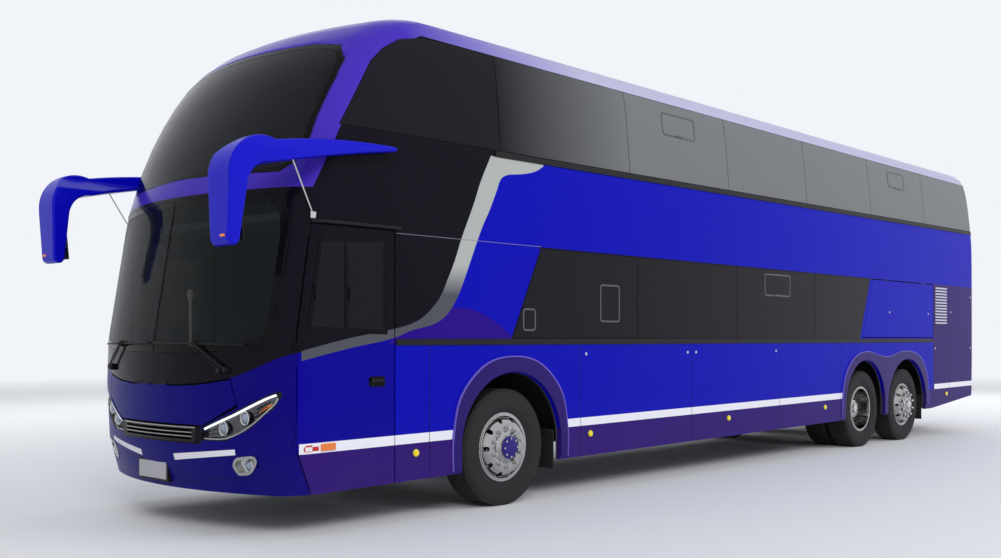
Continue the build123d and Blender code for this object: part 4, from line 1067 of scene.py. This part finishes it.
# A light violet for the strip along each lip's outer edge: a painted highlight.
edge_highlight_paint = plain("arch_edge_highlight_paint", colour(104, 88, 190), 0.25, Coat_Weight=0.1, Specular_IOR_Level=0.2)
slot_of.update({lip_paint: "body_paint", edge_highlight_paint: "body_paint"})
for place, inner, outer in (("front", front_inner, front_outer), ("rear", rear_inner, rear_outer)):
    lip = patch(inner + outer[::-1], "left", 0.013, 0.016, 0.06)
    both(f"{place}_arch_lips", softened(lip, 0.005, 60), lip_paint)
    middle = sum(x for x, _ in outer) / len(outer)
    grown = [(x + 0.009 * (1 if x > middle else -1), z + (0.009 if 0.7 < z else 0)) for x, z in outer]
    # A thin pale strip along the lip's outer edge: a painted highlight.
    both(f"{place}_arch_edges", patch(outer + grown[::-1], "left", 0.015, 0.018, 0.06), edge_highlight_paint)

flap = joined(
    box((0.012, 0.34, 0.36), (0, 1.085, 0.44), 0.004), box((0.02, 0.30, 0.03), (0.004, 1.085, 0.60), 0.003)
)
for place, x in (("front", axle_x - 0.660), ("tag", tag_x - 0.665)):
    both(f"{place}_mudflaps", placed(flap.copy(), (x, 0, 0)), rubber)
print("lip height", round(max(z for _, z in front_outer), 3))

# %% [markdown]
# ## Lines, rims and rounded outlines
# Seams, mouldings and borders are all drawn the same way: a line with a pen's width or an outline
# drawn in by a margin, laid on the skin as a thin solid.

# %% Outlines
def strip(points, wide):
    """The outline of a line drawn through points with a pen of that width."""
    left, right = [], []
    for i, point in enumerate(points):
        along = (Vector(points[min(i + 1, len(points) - 1)]) - Vector(points[max(i - 1, 0)])).normalized()
        across = Vector((-along.y, along.x)) * wide / 2
        left.append(tuple(Vector(point) + across))
        right.append(tuple(Vector(point) - across))
    return left + right[::-1]


def corners_of(outline):
    """Each corner of an outline, between the one before and the one after."""
    around = [Vector(p) for p in outline]
    return zip(around[-1:] + around[:-1], around, around[1:] + around[:1])


def inset(outline, by):
    """The outline drawn in by so much all round."""
    hand = 1 if turn_of(outline) > 0 else -1
    out = []
    for before, point, after in corners_of(outline):
        normals = [Vector((-d.y, d.x)).normalized() * hand for d in (point - before, after - point)]
        shift = (normals[0] + normals[1]) / max(0.35, 1 + normals[0].dot(normals[1]))
        out.append(tuple(point + shift * by))
    return out


def eased(outline, reach, steps=5):
    """The outline with each corner drawn as a curve that starts a reach before it."""
    out = []
    for before, point, after in corners_of(outline):
        start, end = (point.lerp(p, min(0.5, reach / (p - point).length)) for p in (before, after))
        turns = [i / steps for i in range(steps + 1)]
        out += [tuple(start.lerp(point, t).lerp(point.lerp(end, t), t)) for t in turns]
    return out


def rounded(low_x, high_x, low_z, high_z, radius=0.03, steps=5):
    """A rectangle with round corners."""
    left, right, low, high = low_x + radius, high_x - radius, low_z + radius, high_z - radius
    centres = ((right, high, 0), (left, high, 90), (left, low, 180), (right, low, 270))
    return [on_circle(x, z, radius, math.radians(start + 90 * i / steps))
            for x, z, start in centres for i in range(steps + 1)]


def facing(mesh, point, view, back=0.0):
    """Stand a shape that was made round Z on the skin at a point of a view, sunk by back."""
    hit, _ = lay(point, view)
    turn, out = {
        "front": ((0, 90, 0), (1, 0, 0)), "tail": ((0, -90, 0), (-1, 0, 0)),
        "left": ((-90, 0, 0), (0, 1, 0)), "right": ((90, 0, 0), (0, -1, 0)),
    }[view]
    return placed(mesh.copy(), hit - Vector(out) * back, turn)


# %% [markdown]
# ## Head and fog lamps
# Behind each clear cover is a dark tray with a chrome reflector, two projectors, fins and a white
# strip along the rim.

# %% Lamp parts
head = [
    (0.560, 0.690), (0.585, 0.785), (0.880, 0.905), (1.235, 1.070), (1.245, 1.040), (1.200, 0.940),
    (1.020, 0.790), (0.820, 0.700)
]
fog = [(0.870, 0.580), (1.080, 0.615), (1.070, 0.520), (0.980, 0.450), (0.840, 0.440)]
clear = pane("lamp_cover", colour(40, 42, 46), 0.93, 0.03).material
lens = plain("projector_lens", colour(150, 165, 185), 0.03, Metallic=0.6, Coat_Weight=1.0)
white_light = Finish(
    "white_strip", Base_Color=colour(240, 244, 250), Emission_Color=(0.9, 0.95, 1, 1), Roughness=0.2
)
white_light.set("Emission Strength", 0.9)
white_light = white_light.material
amber = Finish("amber_lens", Base_Color=colour(235, 120, 10), Roughness=0.15, Coat_Weight=0.5)
amber.bump(((amber.place()[0] * 900).math("SINE") + (amber.place()[2] * 900).math("SINE")), 0.0004)
amber = amber.material
slot_of.update({clear: "lamp_clear", lens: "lamp_clear", white_light: "lamp_clear", chrome: "polished_rim"})


def ribbon(points, wide, lift, depth, view="front", step=0.03):
    """A raised line on the skin."""
    return patch(strip(points, wide), view, lift, depth, step)


tray = joined(
    patch(inset(head, 0.004), "front", -0.048, 0.004, 0.05),
    patch(inset(head, 0.0005), "front", 0.0, 0.05, 0.04, inset(head, 0.006)),
    patch(inset(fog, 0.004), "front", -0.040, 0.004, 0.05)
)
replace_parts(both("lamp_trays", tray, black_plastic), "front_lamps")
smoked = grained("smoked_chrome", colour(104, 104, 108), 0.18, 300, 0.00005, 0.1, Metallic=1.0)
both("lamp_reflectors", patch(inset(head, 0.022), "front", -0.040, 0.007, 0.05), smoked, "lamp_clear")
fog_points = [
    (0.875, 0.452), (0.845, 0.515), (0.885, 0.575), (0.965, 0.593), (1.040, 0.598), (1.058, 0.560),
    (1.020, 0.500), (0.965, 0.458), (0.875, 0.452)
]
fog_round = flow(fog_points, 5)[:-1]
fog_bezel = patch(fog_round, "front", 0.005, 0.040, 0.03, inset(fog_round, 0.020))
both("fog_bezels", softened(fog_bezel, 0.003, 50, 2), polished)
both("fog_bowls", patch(inset(fog_round, 0.018), "front", -0.030, 0.006, 0.04), chrome)
fog_field = patch(inset(fog, 0.0005), "front", 0.0, 0.030, 0.03, inset(fog_round, 0.001))
both("fog_surrounds", fog_field, coach_skin)
barrel = spun([(0.036, 0), (0.052, 0), (0.055, 0.014), (0.050, 0.020), (0.040, 0.016), (0.036, 0.006)], 40)
ball = spun([(0, 0.002), (0.037, 0.002), (0.036, 0.012), (0.028, 0.022), (0.015, 0.028), (0, 0.030)], 40)
spots = [(0.775, 0.785), (0.965, 0.868), (0.960, 0.530)]
both("lamp_barrels", joined(*[facing(barrel, spot, "front", 0.034) for spot in spots]), chrome)
both("lamp_lenses", joined(*[facing(ball, spot, "front", 0.034) for spot in spots]), lens)
upper_rim = [(0.606, 0.777), (0.888, 0.889), (1.215, 1.040)]
lower_rim = [(1.222, 1.020), (1.184, 0.949), (1.010, 0.806), (0.815, 0.717), (0.600, 0.708)]
both("lamp_strips", ribbon(upper_rim, 0.015, -0.006, 0.012), white_light)
both("lamp_rims", ribbon(flow(lower_rim, 3), 0.008, -0.008, 0.010), chrome)
low_fins = [[(0.60 + 0.02 * i, 0.728 + 0.026 * i), (0.700 + 0.01 * i, 0.746 + 0.034 * i)] for i in range(2)]
high_fins = [[(1.045 + 0.012 * i, 0.872 + 0.03 * i), (1.150 + 0.008 * i, 0.925 + 0.03 * i)] for i in range(3)]
fins = [ribbon(line, 0.004, -0.014, 0.022) for line in low_fins]
fins += [ribbon(line, 0.005, -0.012, 0.024) for line in high_fins]
both("lamp_fins", joined(*fins), gloss_trim)
turn_shape = inset([(1.085, 0.905), (1.175, 0.950), (1.200, 0.985), (1.120, 0.945)], 0.002)
both("turn_lamps", patch(turn_shape, "front", -0.016, 0.012, 0.03), amber, "lamp_clear")
covers = [patch(inset(shape, 0.0006), "front", 0.0, 0.003, 0.05) for shape in (head, fog)]
both("lamp_covers", joined(*covers), clear)
print("projectors:", 2 * len(spots))

# %% [markdown]
# ## Grille, plate and screens
# Two bright lines run between the grille's slots. The number plate is blank. Each windscreen has a
# black border, and a bar divides the lower one.

# %% Front trim
bright = [ribbon([(-0.48, z), (0.48, z)], 0.006, 0.003, 0.006, step=0.06) for z in (0.7175, 0.7475)]
bright.append(ribbon([(-0.52, 0.785), (0.52, 0.785)], 0.008, 0.003, 0.006, step=0.06))
new_piece("grille_lines", joined(*bright), "body", polished)
hit, _ = lay((-0.09, 0.43), "front")
plate_grey = grained("plate_grey", colour(172, 172, 176), 0.5, 200, 0.0002, 0.05)
plate_back = box((0.04, 0.44, 0.165), hit + Vector((-0.006, 0, 0)), 0.004)
new_piece("plate_holder", plate_back, "body", black_plastic)
plate = box((0.004, 0.40, 0.13), hit + Vector((0.0165, 0, 0)), 0.001)
new_piece("front_plate", plate, "body", plate_grey, "lamp_clear")

lower_screen = [
    (0, 1.335), (0.700, 1.345), (1.090, 1.390), (1.185, 1.450), (1.190, 2.290), (1.105, 2.470), (1.000, 2.505)
]
lower_screen += [(0, 2.515)] + [(-y, z) for y, z in reversed(lower_screen[1:])]
upper_screen = [
    (0, 2.690), (1.040, 2.665), (1.150, 2.740), (1.190, 2.920), (1.180, 3.400), (1.160, 3.570),
    (1.060, 3.700), (0.800, 3.745)
]
upper_screen += [(0, 3.755)] + [(-y, z) for y, z in reversed(upper_screen[1:])]
borders = [
    patch(inset(screen, 0.006), "front", 0.001, 0.002, 0.035, eased(inset(screen, wide), 0.16))
    for screen, wide in ((lower_screen, 0.045), (upper_screen, 0.035))
]
bar = ribbon([(0, 1.345), (0, 2.505)], 0.024, 0.004, 0.006, step=0.06)
new_piece("screen_borders", joined(*borders, bar), "body", gloss_trim)

# %% [markdown]
# ## Mirrors
# Each mirror is one horn in body blue. Its glass faces astern in two panes, a flat one over a wide
# one, a small lamp sits low on its front and a thin stay ties its arm to the pillar.

# %% Mirror glass, lamp and stay
mirror_tree = tree_of("mirrors")
mirror_paint = Finish("mirror_paint", Base_Color=colour(8, 7, 186), Coat_Weight=0.15, Coat_Roughness=0.05)
mirror_paint.set("Roughness", 0.28 + 0.06 * mirror_paint.noise(30))
mirror_paint.set("Specular IOR Level", 0.1)
mirror_paint = mirror_paint.material
mirror_glass = plain("mirror_glass", colour(196, 204, 212), 0.02, Metallic=1.0)
slot_of.update({mirror_paint: "front_paint", mirror_glass: "dark_glass"})
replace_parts(new_piece("mirror_horns", merged("mirrors"), "body", mirror_paint, fold=40), "mirrors")
mirror_back = mirror_tree.ray_cast(Vector((0, 1.28, 2.33)), Vector((1, 0, 0)))[0]
panes = joined(
    placed(box((0.006, 0.185, 0.30), edge=0.002), mirror_back + Vector((0.008, 0, 0.045)), (0, 4, 0)),
    placed(box((0.006, 0.185, 0.10), edge=0.002), mirror_back + Vector((-0.006, 0, -0.165)), (0, 8, 0))
)
both("mirror_panes", panes, mirror_glass)
frame_back = placed(
    box((0.012, 0.205, 0.44), edge=0.005), mirror_back + Vector((0.006, 0, -0.005)), (0, 5, 0)
)
both("mirror_frames", frame_back, black_plastic)
low_front = mirror_tree.ray_cast(Vector((far, 1.33, 2.135)), Vector((-1, 0, 0)))[0]
both("mirror_lamps", box((0.016, 0.055, 0.020), low_front, 0.005), amber, "lamp_clear")


def rod(start, end, radius, steps=16):
    """A round bar from one point to another."""
    start, end = Vector(start), Vector(end)
    bar = spun([(0, 0), (radius, 0), (radius, (end - start).length), (0, (end - start).length)], steps)
    bar.transform(Matrix.Translation(start) @ (end - start).to_track_quat("Z", "Y").to_matrix().to_4x4())
    return bar


foot, _ = lay((axle_x + 2.07, 2.34), "left")
stay = rod(foot, foot + Vector((0.22, 0.05, 0.375)), 0.0055)
stay_foot = placed(box((0.05, 0.012, 0.05), edge=0.004), foot)
both("mirror_stays", joined(stay, stay_foot), chrome)
print("mirror glass faces astern at", round(mirror_back.x, 3))

# %% [markdown]
# ## Wipers
# A slim blade lies along the foot of the screen on each side. Its arm slopes up from a spindle low
# in the black panel, near the corner.

# %% Wipers
blades = [
    ribbon([(0.035, 1.413), (1.0, 1.400)], wide, lift, depth, step=0.05)
    for wide, lift, depth in ((0.007, 0.013, 0.012), (0.014, 0.024, 0.010))
]
arm = ribbon(flow([(0.845, 1.215), (0.70, 1.305), (0.535, 1.408)], 4), 0.015, 0.036, 0.010)
brace = ribbon([(0.790, 1.210), (0.560, 1.372)], 0.006, 0.030, 0.006)
spindle = [
    facing(spun([(0, 0), (0.024, 0), (0.024, 0.034), (0.016, 0.044), (0, 0.045)], 28), spot, "front", 0.004)
    for spot in ((0.845, 1.215), (0.790, 1.210))
]
carrier = facing(box((0.05, 0.035, 0.030), edge=0.006), (0.535, 1.404), "front", -0.018)
wiper_black = grained("wiper_black", colour(14, 14, 15), 0.5, 500, 0.0001, Specular_IOR_Level=0.2)
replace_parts(both("wiper_blades", joined(*blades, arm, brace, *spindle, carrier), wiper_black), "wipers")

# %% [markdown]
# ## Doors
# The driver's door has a sliding window in a black frame, a recessed handle and a bright reflector
# at the foot. Each piece rides on its own door, so it turns with it.

# %% Door trim
door_pane = [
    (door_rear + 0.075, belt_z + 0.030), (door_front - 0.075, belt_z + 0.050), (axle_x + 2.030, 2.185),
    (door_rear + 0.075, 2.220)
]
window_frame = patch(inset(door_pane, 0.003), "left", 0.003, 0.006, 0.15, inset(door_pane, 0.035))
divider = ribbon([(axle_x + 1.78, belt_z + 0.045), (axle_x + 1.78, 2.20)], 0.028, 0.005, 0.008, "left", 0.15)
catch = joined(
    *[ribbon([(axle_x + x, 1.72), (axle_x + x, 1.83)], 0.016, 0.012, 0.014, "left") for x in (1.755, 2.07)]
)
rain_line = flow([(axle_x + 2.085, 2.297), (axle_x + 1.9, 2.302), (axle_x + 1.24, 2.302)], 4)
rain = ribbon(rain_line, 0.022, 0.016, 0.018, "left", 0.1)
recess = patch(rounded(axle_x + 1.40, axle_x + 1.56, 1.075, 1.155, 0.02), "left", 0.002, 0.004, 0.05)
grip = joined(ribbon([(axle_x + 1.415, 1.125), (axle_x + 1.545, 1.125)], 0.026, 0.018, 0.012, "left"),
              ribbon([(axle_x + 1.425, 1.125), (axle_x + 1.425, 1.105)], 0.016, 0.016, 0.016, "left", 0.05))
barrel = spun([(0, 0), (0.013, 0), (0.013, 0.006), (0.011, 0.008), (0, 0.008)], 24)
lock = facing(barrel, (axle_x + 1.53, 1.092), "left")
door_sides = (("driver", lambda mesh: mesh), ("passenger", mirrored))
for word, mesh_side in door_sides:
    body = body_of[f"{word}_door"]
    new_piece(f"{word}_window_frame", mesh_side(joined(window_frame, divider, catch)), body, gloss_trim)
    new_piece(f"{word}_door_recess", mesh_side(recess), body, gloss_trim)
    new_piece(f"{word}_door_grip", mesh_side(joined(grip, lock)), body, black_plastic)
both("rain_strips", rain, black_plastic)
seal_line = [
    (door_rear, 0.36), (door_rear, 2.280), (axle_x + 2.090, 2.280), (door_front, 1.460), (door_front, 0.640),
    (axle_x + 2.105, 0.36)
]
flat = strip(seal_line, 0.050)
count, rim = len(seal_line), 2 * len(seal_line)
faces = [(i, i + 1, rim - 2 - i, rim - 1 - i) for i in range(count - 1)]
backs = [tuple(i + rim for i in face) for face in faces]
walls = [(i, (i + 1) % rim, rim + (i + 1) % rim, rim + i) for i in range(rim)]
seal = mesh_of([(x, y, z) for y in (1.238, 1.249) for x, z in flat], faces + backs + walls, "seal")
both("door_seals", smooth(outward(seal)), rubber)
handle_grey = grained("handle_grey", colour(205, 200, 182), 0.4, 300, 0.0001)
pole = [
    (0, 0), (0.014, 0), (0.014, 1.17), (0.019, 1.18), (0.026, 1.20), (0.030, 1.225), (0.026, 1.25),
    (0.014, 1.265), (0, 1.268)
]
new_piece("entrance_pole", placed(spun(pole, 24), (6.0, -0.70, 0.60)), "body", handle_grey)
print("door trim placed")

# %% [markdown]
# ## Along the sides
# Black mouldings cap the belt and the upper sill. Small windows open in the panes, marker lamps and
# reflectors sit low down, and the engine breathes through a grille of pale slats.

# %% Mouldings, small windows and markers
def sill(x):
    """Height of the upper sill: it drops a little towards the front."""
    return 3.030 + (nose_x - x) * sill_slope


belt_ends = [(x, belt_z - 0.030) for x in (door_rear - 0.012, axle_x - 9.385)]
belt = ribbon(belt_ends, 0.050, 0.010, 0.014, "left", 0.3)
upper_ends = [(x, sill(x) - 0.036) for x in (axle_x + 0.16, rear_x + 0.12)]
upper = ribbon(upper_ends, 0.050, 0.012, 0.016, "left", 0.3)
both("mouldings", softened(joined(belt, upper), 0.003, 60, 1), black_plastic)

small = [
    (-1.60, -1.29, 1.60, 1.96), (-5.00, -4.39, 1.94, 2.20), (-0.36, -0.19, 1.51, 1.71),
    (-3.01, -2.40, 3.54, 3.78), (-8.46, -7.91, 3.56, 3.79)
]
frames, seals = [], []
for low_x, high_x, low_z, high_z in small:
    shape = rounded(axle_x + low_x, axle_x + high_x, low_z, high_z, 0.035)
    frames.append(patch(shape, "left", 0.004, 0.006, 0.08, inset(shape, 0.016)))
    middle = axle_x + (low_x + high_x) / 2
    if high_x - low_x > 0.4:
        grip_ends = [(x, low_z + 0.012) for x in (middle - 0.05, middle + 0.05)]
        frames.append(ribbon(grip_ends, 0.02, 0.010, 0.010, "left"))
    seals.append(patch(inset(shape, 0.016), "left", 0.001, 0.002, 0.1))
both("small_window_frames", joined(*frames), grained("frame_grey", colour(74, 74, 80), 0.35, 200, 0.0001))
both("small_window_panes", joined(*seals), side_glass)

yellow = plain("marker_lens", colour(236, 214, 20), 0.15, Coat_Weight=0.5)
marker = spun([(0, 0), (0.030, 0), (0.030, 0.010), (0.024, 0.018), (0, 0.020)], 32)
places = [(axle_x + x, 0.54 + 0.006 * (1 - x)) for x in (1.08, -1.14, -3.6, -5.9, -9.9)]
markers = joined(*[facing(marker, place, "left", 0.002) for place in places])
both("marker_lamps", markers, yellow, "lamp_clear")
reflex = Finish("reflex_tape", Roughness=0.3)
across, _, up = reflex.place()
red_square = ((across * 52).math("SINE") * (up * 100).math("SINE")).above(0, 0.05)
reflex.set("Base Color", reflex.mix(red_square, colour(225, 225, 225), colour(190, 20, 25)))
reflex = reflex.material
for word, mesh_side in door_sides:
    body = body_of[f"{word}_door"]
    tape = ribbon([(axle_x + 2.165, 0.647), (axle_x + 2.035, 0.649)], 0.048, 0.002, 0.003, "left")
    side_lamp = ribbon([(axle_x + 2.015, 0.650), (axle_x + 1.885, 0.652)], 0.050, 0.010, 0.012, "left")
    new_piece(f"{word}_reflex_tape", mesh_side(tape), body, reflex, "lamp_red")
    new_piece(f"{word}_side_lamp", mesh_side(side_lamp), body, amber, "lamp_clear")

slat = box((0.44, 0.016, 0.022), edge=0.004, rounds=1)
slat_paint = plain("slat_paint", colour(196, 192, 226), 0.35)
first, _ = lay((axle_x - 9.685, 1.680), "left")
slat_count, slat_step = 13, 0.0435
slats = placed(row("slats", slat, slat_paint, slat_count, (0, 0, slat_step)), first + Vector((0, 0.004, 0)))
both("louvre_slats", slats, slat_paint, "body_paint")
louvre_field = rounded(axle_x - 9.92, axle_x - 9.45, 1.65, 2.225, 0.01)
both("louvre_back", patch(louvre_field, "left", 0.001, 0.002, 0.15), black_plastic)
seams = [
    [(-9.405, 0.48), (-9.405, 1.385)], [(-9.405, 1.44), (-9.405, 2.245)], [(-9.42, 1.57), (-10.98, 1.57)],
    [(-10.02, 0.50), (-10.02, 2.24)], [(-10.98, 0.56), (-10.98, 2.95)], [(-1.0, 0.37), (-1.0, 1.385)],
    [(-2.87, 0.37), (-2.87, 1.385)], [(-4.74, 0.38), (-4.74, 1.385)], [(-6.33, 0.40), (-6.33, 1.385)],
    [(0.93, 0.36), (0.93, 1.385)]
]
lines = [ribbon([(axle_x + x, z) for x, z in seam], 0.005, 0.0006, 0.0012, "left", 0.4) for seam in seams]
both("panel_seams", joined(*lines), gloss_trim)
shelf = ribbon([(door_rear - 0.02, 2.262), (axle_x - 0.43, 2.262)], 0.004, 0.001, 0.0015, "left", 0.3)
both("shelf_seams", shelf, grained("seam_grey", colour(120, 118, 130), 0.4, 200, 0.0001))
stud = spun([(0, 0), (0.016, 0), (0.016, 0.003), (0.012, 0.006), (0, 0.006)], 24)
locks = [
    (-9.47, 1.30), (-10.9, 1.30), (-10.08, 1.85), (-10.9, 2.10), (-1.08, 1.30), (-2.79, 1.30), (-2.95, 1.30),
    (-4.66, 1.30)
]
both("panel_locks", joined(*[facing(stud, (axle_x + x, z), "left", 0.001) for x, z in locks]), chrome)
for word, mesh_side in (("left", lambda mesh: mesh), ("right", mirrored)):
    hatch_lock = joined(*[facing(stud, (axle_x + x, 1.81), "left", 0.001) for x in (-7.84, -9.2)])
    new_piece(f"{word}_hatch_locks", mesh_side(hatch_lock), body_of[f"{word}_luggage_door"], chrome)
print("slats:", slat_count, "markers:", len(places))

# %% [markdown]
# ## Tail
# Four lenses stand one above another in each corner. The engine cover has two rows of louvres, a
# blank plate between them and a handle, and a brake lamp crosses the rear pane's foot.

# %% Tail lamps and engine cover
red_lens = Finish("red_lens", Base_Color=colour(150, 8, 10), Roughness=0.12, Coat_Weight=0.6)
_, across, up = red_lens.place()
red_lens.bump(((across * 700).math("SINE") * (up * 700).math("SINE")), 0.0005)
red_lens = red_lens.material
white_lens = plain("white_lens", colour(226, 228, 230), 0.12, Coat_Weight=0.6)
slot_of.update({red_lens: "lamp_red", white_lens: "lamp_clear"})
tail_outline = [(1.090, 0.980), (1.090, 1.620), (1.190, 1.620), (1.190, 0.980)]
tail_tray = patch(inset(tail_outline, 0.0005), "tail", -0.006, 0.040, 0.05)
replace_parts(both("tail_lamp_trays", tail_tray, gloss_trim), "tail_lamps")
for name, finish, low, high in (
    ("stop", red_lens, 0.990, 1.150), ("turn", amber, 1.160, 1.290), ("tail", red_lens, 1.300, 1.470),
    ("reverse", white_lens, 1.480, 1.610)
):
    shape = patch(rounded(1.096, 1.184, low, high, 0.012, 3), "tail", 0.002, 0.012, 0.04)
    both(f"{name}_lenses", softened(shape, 0.002, 60, 1), finish)
cover_body = body_of["engine_cover"]
louvre = placed(box((0.024, 0.62, 0.012), edge=0.003, rounds=1), (0, 0, 0), (0, 35, 0))
louvre_y, vane_count = 0.52, 10
for word, low in (("lower", 0.80), ("upper", 1.62)):
    for hand, side in reversed(sides):
        place, top = (lay((side * louvre_y, low + up), "tail")[0] for up in (0.02, 0.38))
        step = (top - place) / (vane_count - 1)
        vanes = row(f"{word}_vanes", louvre, black_plastic, vane_count, step)
        vanes = placed(vanes, place + Vector((0.003, 0, 0)))
        new_piece(f"{word}_vanes_{hand}", vanes, cover_body, black_plastic, fold=35)
        field = rounded(side * louvre_y - 0.33, side * louvre_y + 0.33, low - 0.01, low + 0.41, 0.015, 3)
        back = patch(field, "tail", 0.001, 0.002, 0.045)
        new_piece(f"{word}_vane_back_{hand}", back, cover_body, gloss_trim)
spot, _ = lay((0, 1.42), "tail")
pull, _ = lay((0, 0.80), "tail")
for name, size, foot, shift, edge, finish, slot in (
    ("tail_plate_holder", (0.006, 0.46, 0.18), spot, (0.0005, 0, 0), 0.002, black_plastic, None),
    ("tail_plate", (0.002, 0.40, 0.13), spot, (-0.0026, 0, 0), 0.0008, plate_grey, "lamp_clear"),
    ("plate_lamp", (0.008, 0.16, 0.020), spot, (0.001, 0, 0.105), 0.003, black_plastic, None),
    ("cover_pull", (0.008, 0.20, 0.024), pull, (0.001, 0, 0), 0.003, black_plastic, None),
):
    new_piece(name, box(size, foot + Vector(shift), edge), cover_body, finish, slot)
high_lamp = patch(rounded(-0.30, 0.30, 3.02, 3.055, 0.012, 3), "tail", 0.002, 0.012, 0.06)
new_piece("high_stop_lamp", high_lamp, "body", red_lens)
rear_pane = [(-1.020, 3.120), (-0.960, 3.820), (0.960, 3.820), (1.020, 3.120)]
new_piece(
    "tail_pane_border", patch(inset(rear_pane, 0.004), "tail", 0.001, 0.002, 0.08, inset(rear_pane, 0.045)),
    "body", gloss_trim
)
both(
    "tail_reflectors", patch(rounded(0.86, 1.00, 0.66, 0.70, 0.008, 3), "tail", 0.002, 0.004, 0.05), red_lens
)
print("tail lamp height", round(tail_outline[1][1] - tail_outline[0][1], 3))

# %% [markdown]
# ## Seats
# One seat is built once, from rounded cushions on a foot, and repeated at every place on both
# decks. Its cover cloth, its foot and its head cloth each take their own finish.

# %% Cushions at every place
rake = (0, -13.5, 0)                       # lean of a seat's back, in degrees
lower_deck, upper_deck, upper_rows = 0.550, 2.440, 13
stair_rows = (2, 3)                        # rows that the stairs take on the kerb side


def at_places(name, shape, finish, places, slot=None):
    """A shape repeated at a list of places, as one piece on the body."""
    holder = bpy.data.objects.new("places", mesh_of(places, []))

    def points(pattern):
        return pattern.put("GeometryNodeObjectInfo", out="Geometry", Object=holder), {}
    mesh = repeated(name, shape, finish, points)
    bpy.data.objects.remove(holder)
    return new_piece(name, mesh, "body", finish, slot, 40)


cushions = joined(
    box((0.46, 0.425, 0.105), (0.258, 0, 0.385), 0.035, 3),
    placed(box((0.100, 0.420, 0.70), edge=0.035, rounds=3), (-0.035, 0, 0.745), rake),
    *[placed(box((0.07, 0.05, 0.52), edge=0.02), (-0.010, side * 0.190, 0.70), rake) for side in (-1, 1)]
)
foot = joined(
    box((0.12, 0.30, 0.31), (0.165, 0, 0.160), 0.010),
    *[box((0.30, 0.035, 0.035), (0.14, side * 0.20, 0.61), 0.012) for side in (-1, 1)]
)
head_cloth = placed(box((0.108, 0.30, 0.20), edge=0.03, rounds=3), (-0.090, 0, 0.975), rake)
pitch, window_seat, aisle_seat = 0.850, 0.930, 0.475
decks = [
    ([axle_x - 1.70 - i * pitch for i in range(5)], 1, lower_deck),
    ([axle_x - 3.25 - i * pitch for i in range(4)], -1, lower_deck),
    ([axle_x + 0.62 - i * pitch for i in range(upper_rows)], 1, upper_deck),
    ([axle_x + 0.62 - i * pitch for i in range(upper_rows) if i not in stair_rows], -1, upper_deck)
]
places = [(x, side * y, z) for xs, side, z in decks for x in xs for y in (window_seat, aisle_seat)]
head_white = grained("head_cloth", colour(196, 198, 204), 0.85, 900, 0.0002, 0.08)
driver_place = [(axle_x + 0.86, 0.62, 0.750)]
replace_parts(at_places("seat_cushions", cushions, seat_cloth, places), "passenger_seats")
at_places("seat_feet", foot, black_plastic, places)
at_places("seat_head_cloths", head_cloth, head_white, places, "seat_fabric")
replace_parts(at_places("driver_cushions", cushions, seat_cloth, driver_place), "driver_seat")
at_places("driver_seat_foot", foot, black_plastic, driver_place)
print("seats:", len(places) + 1)
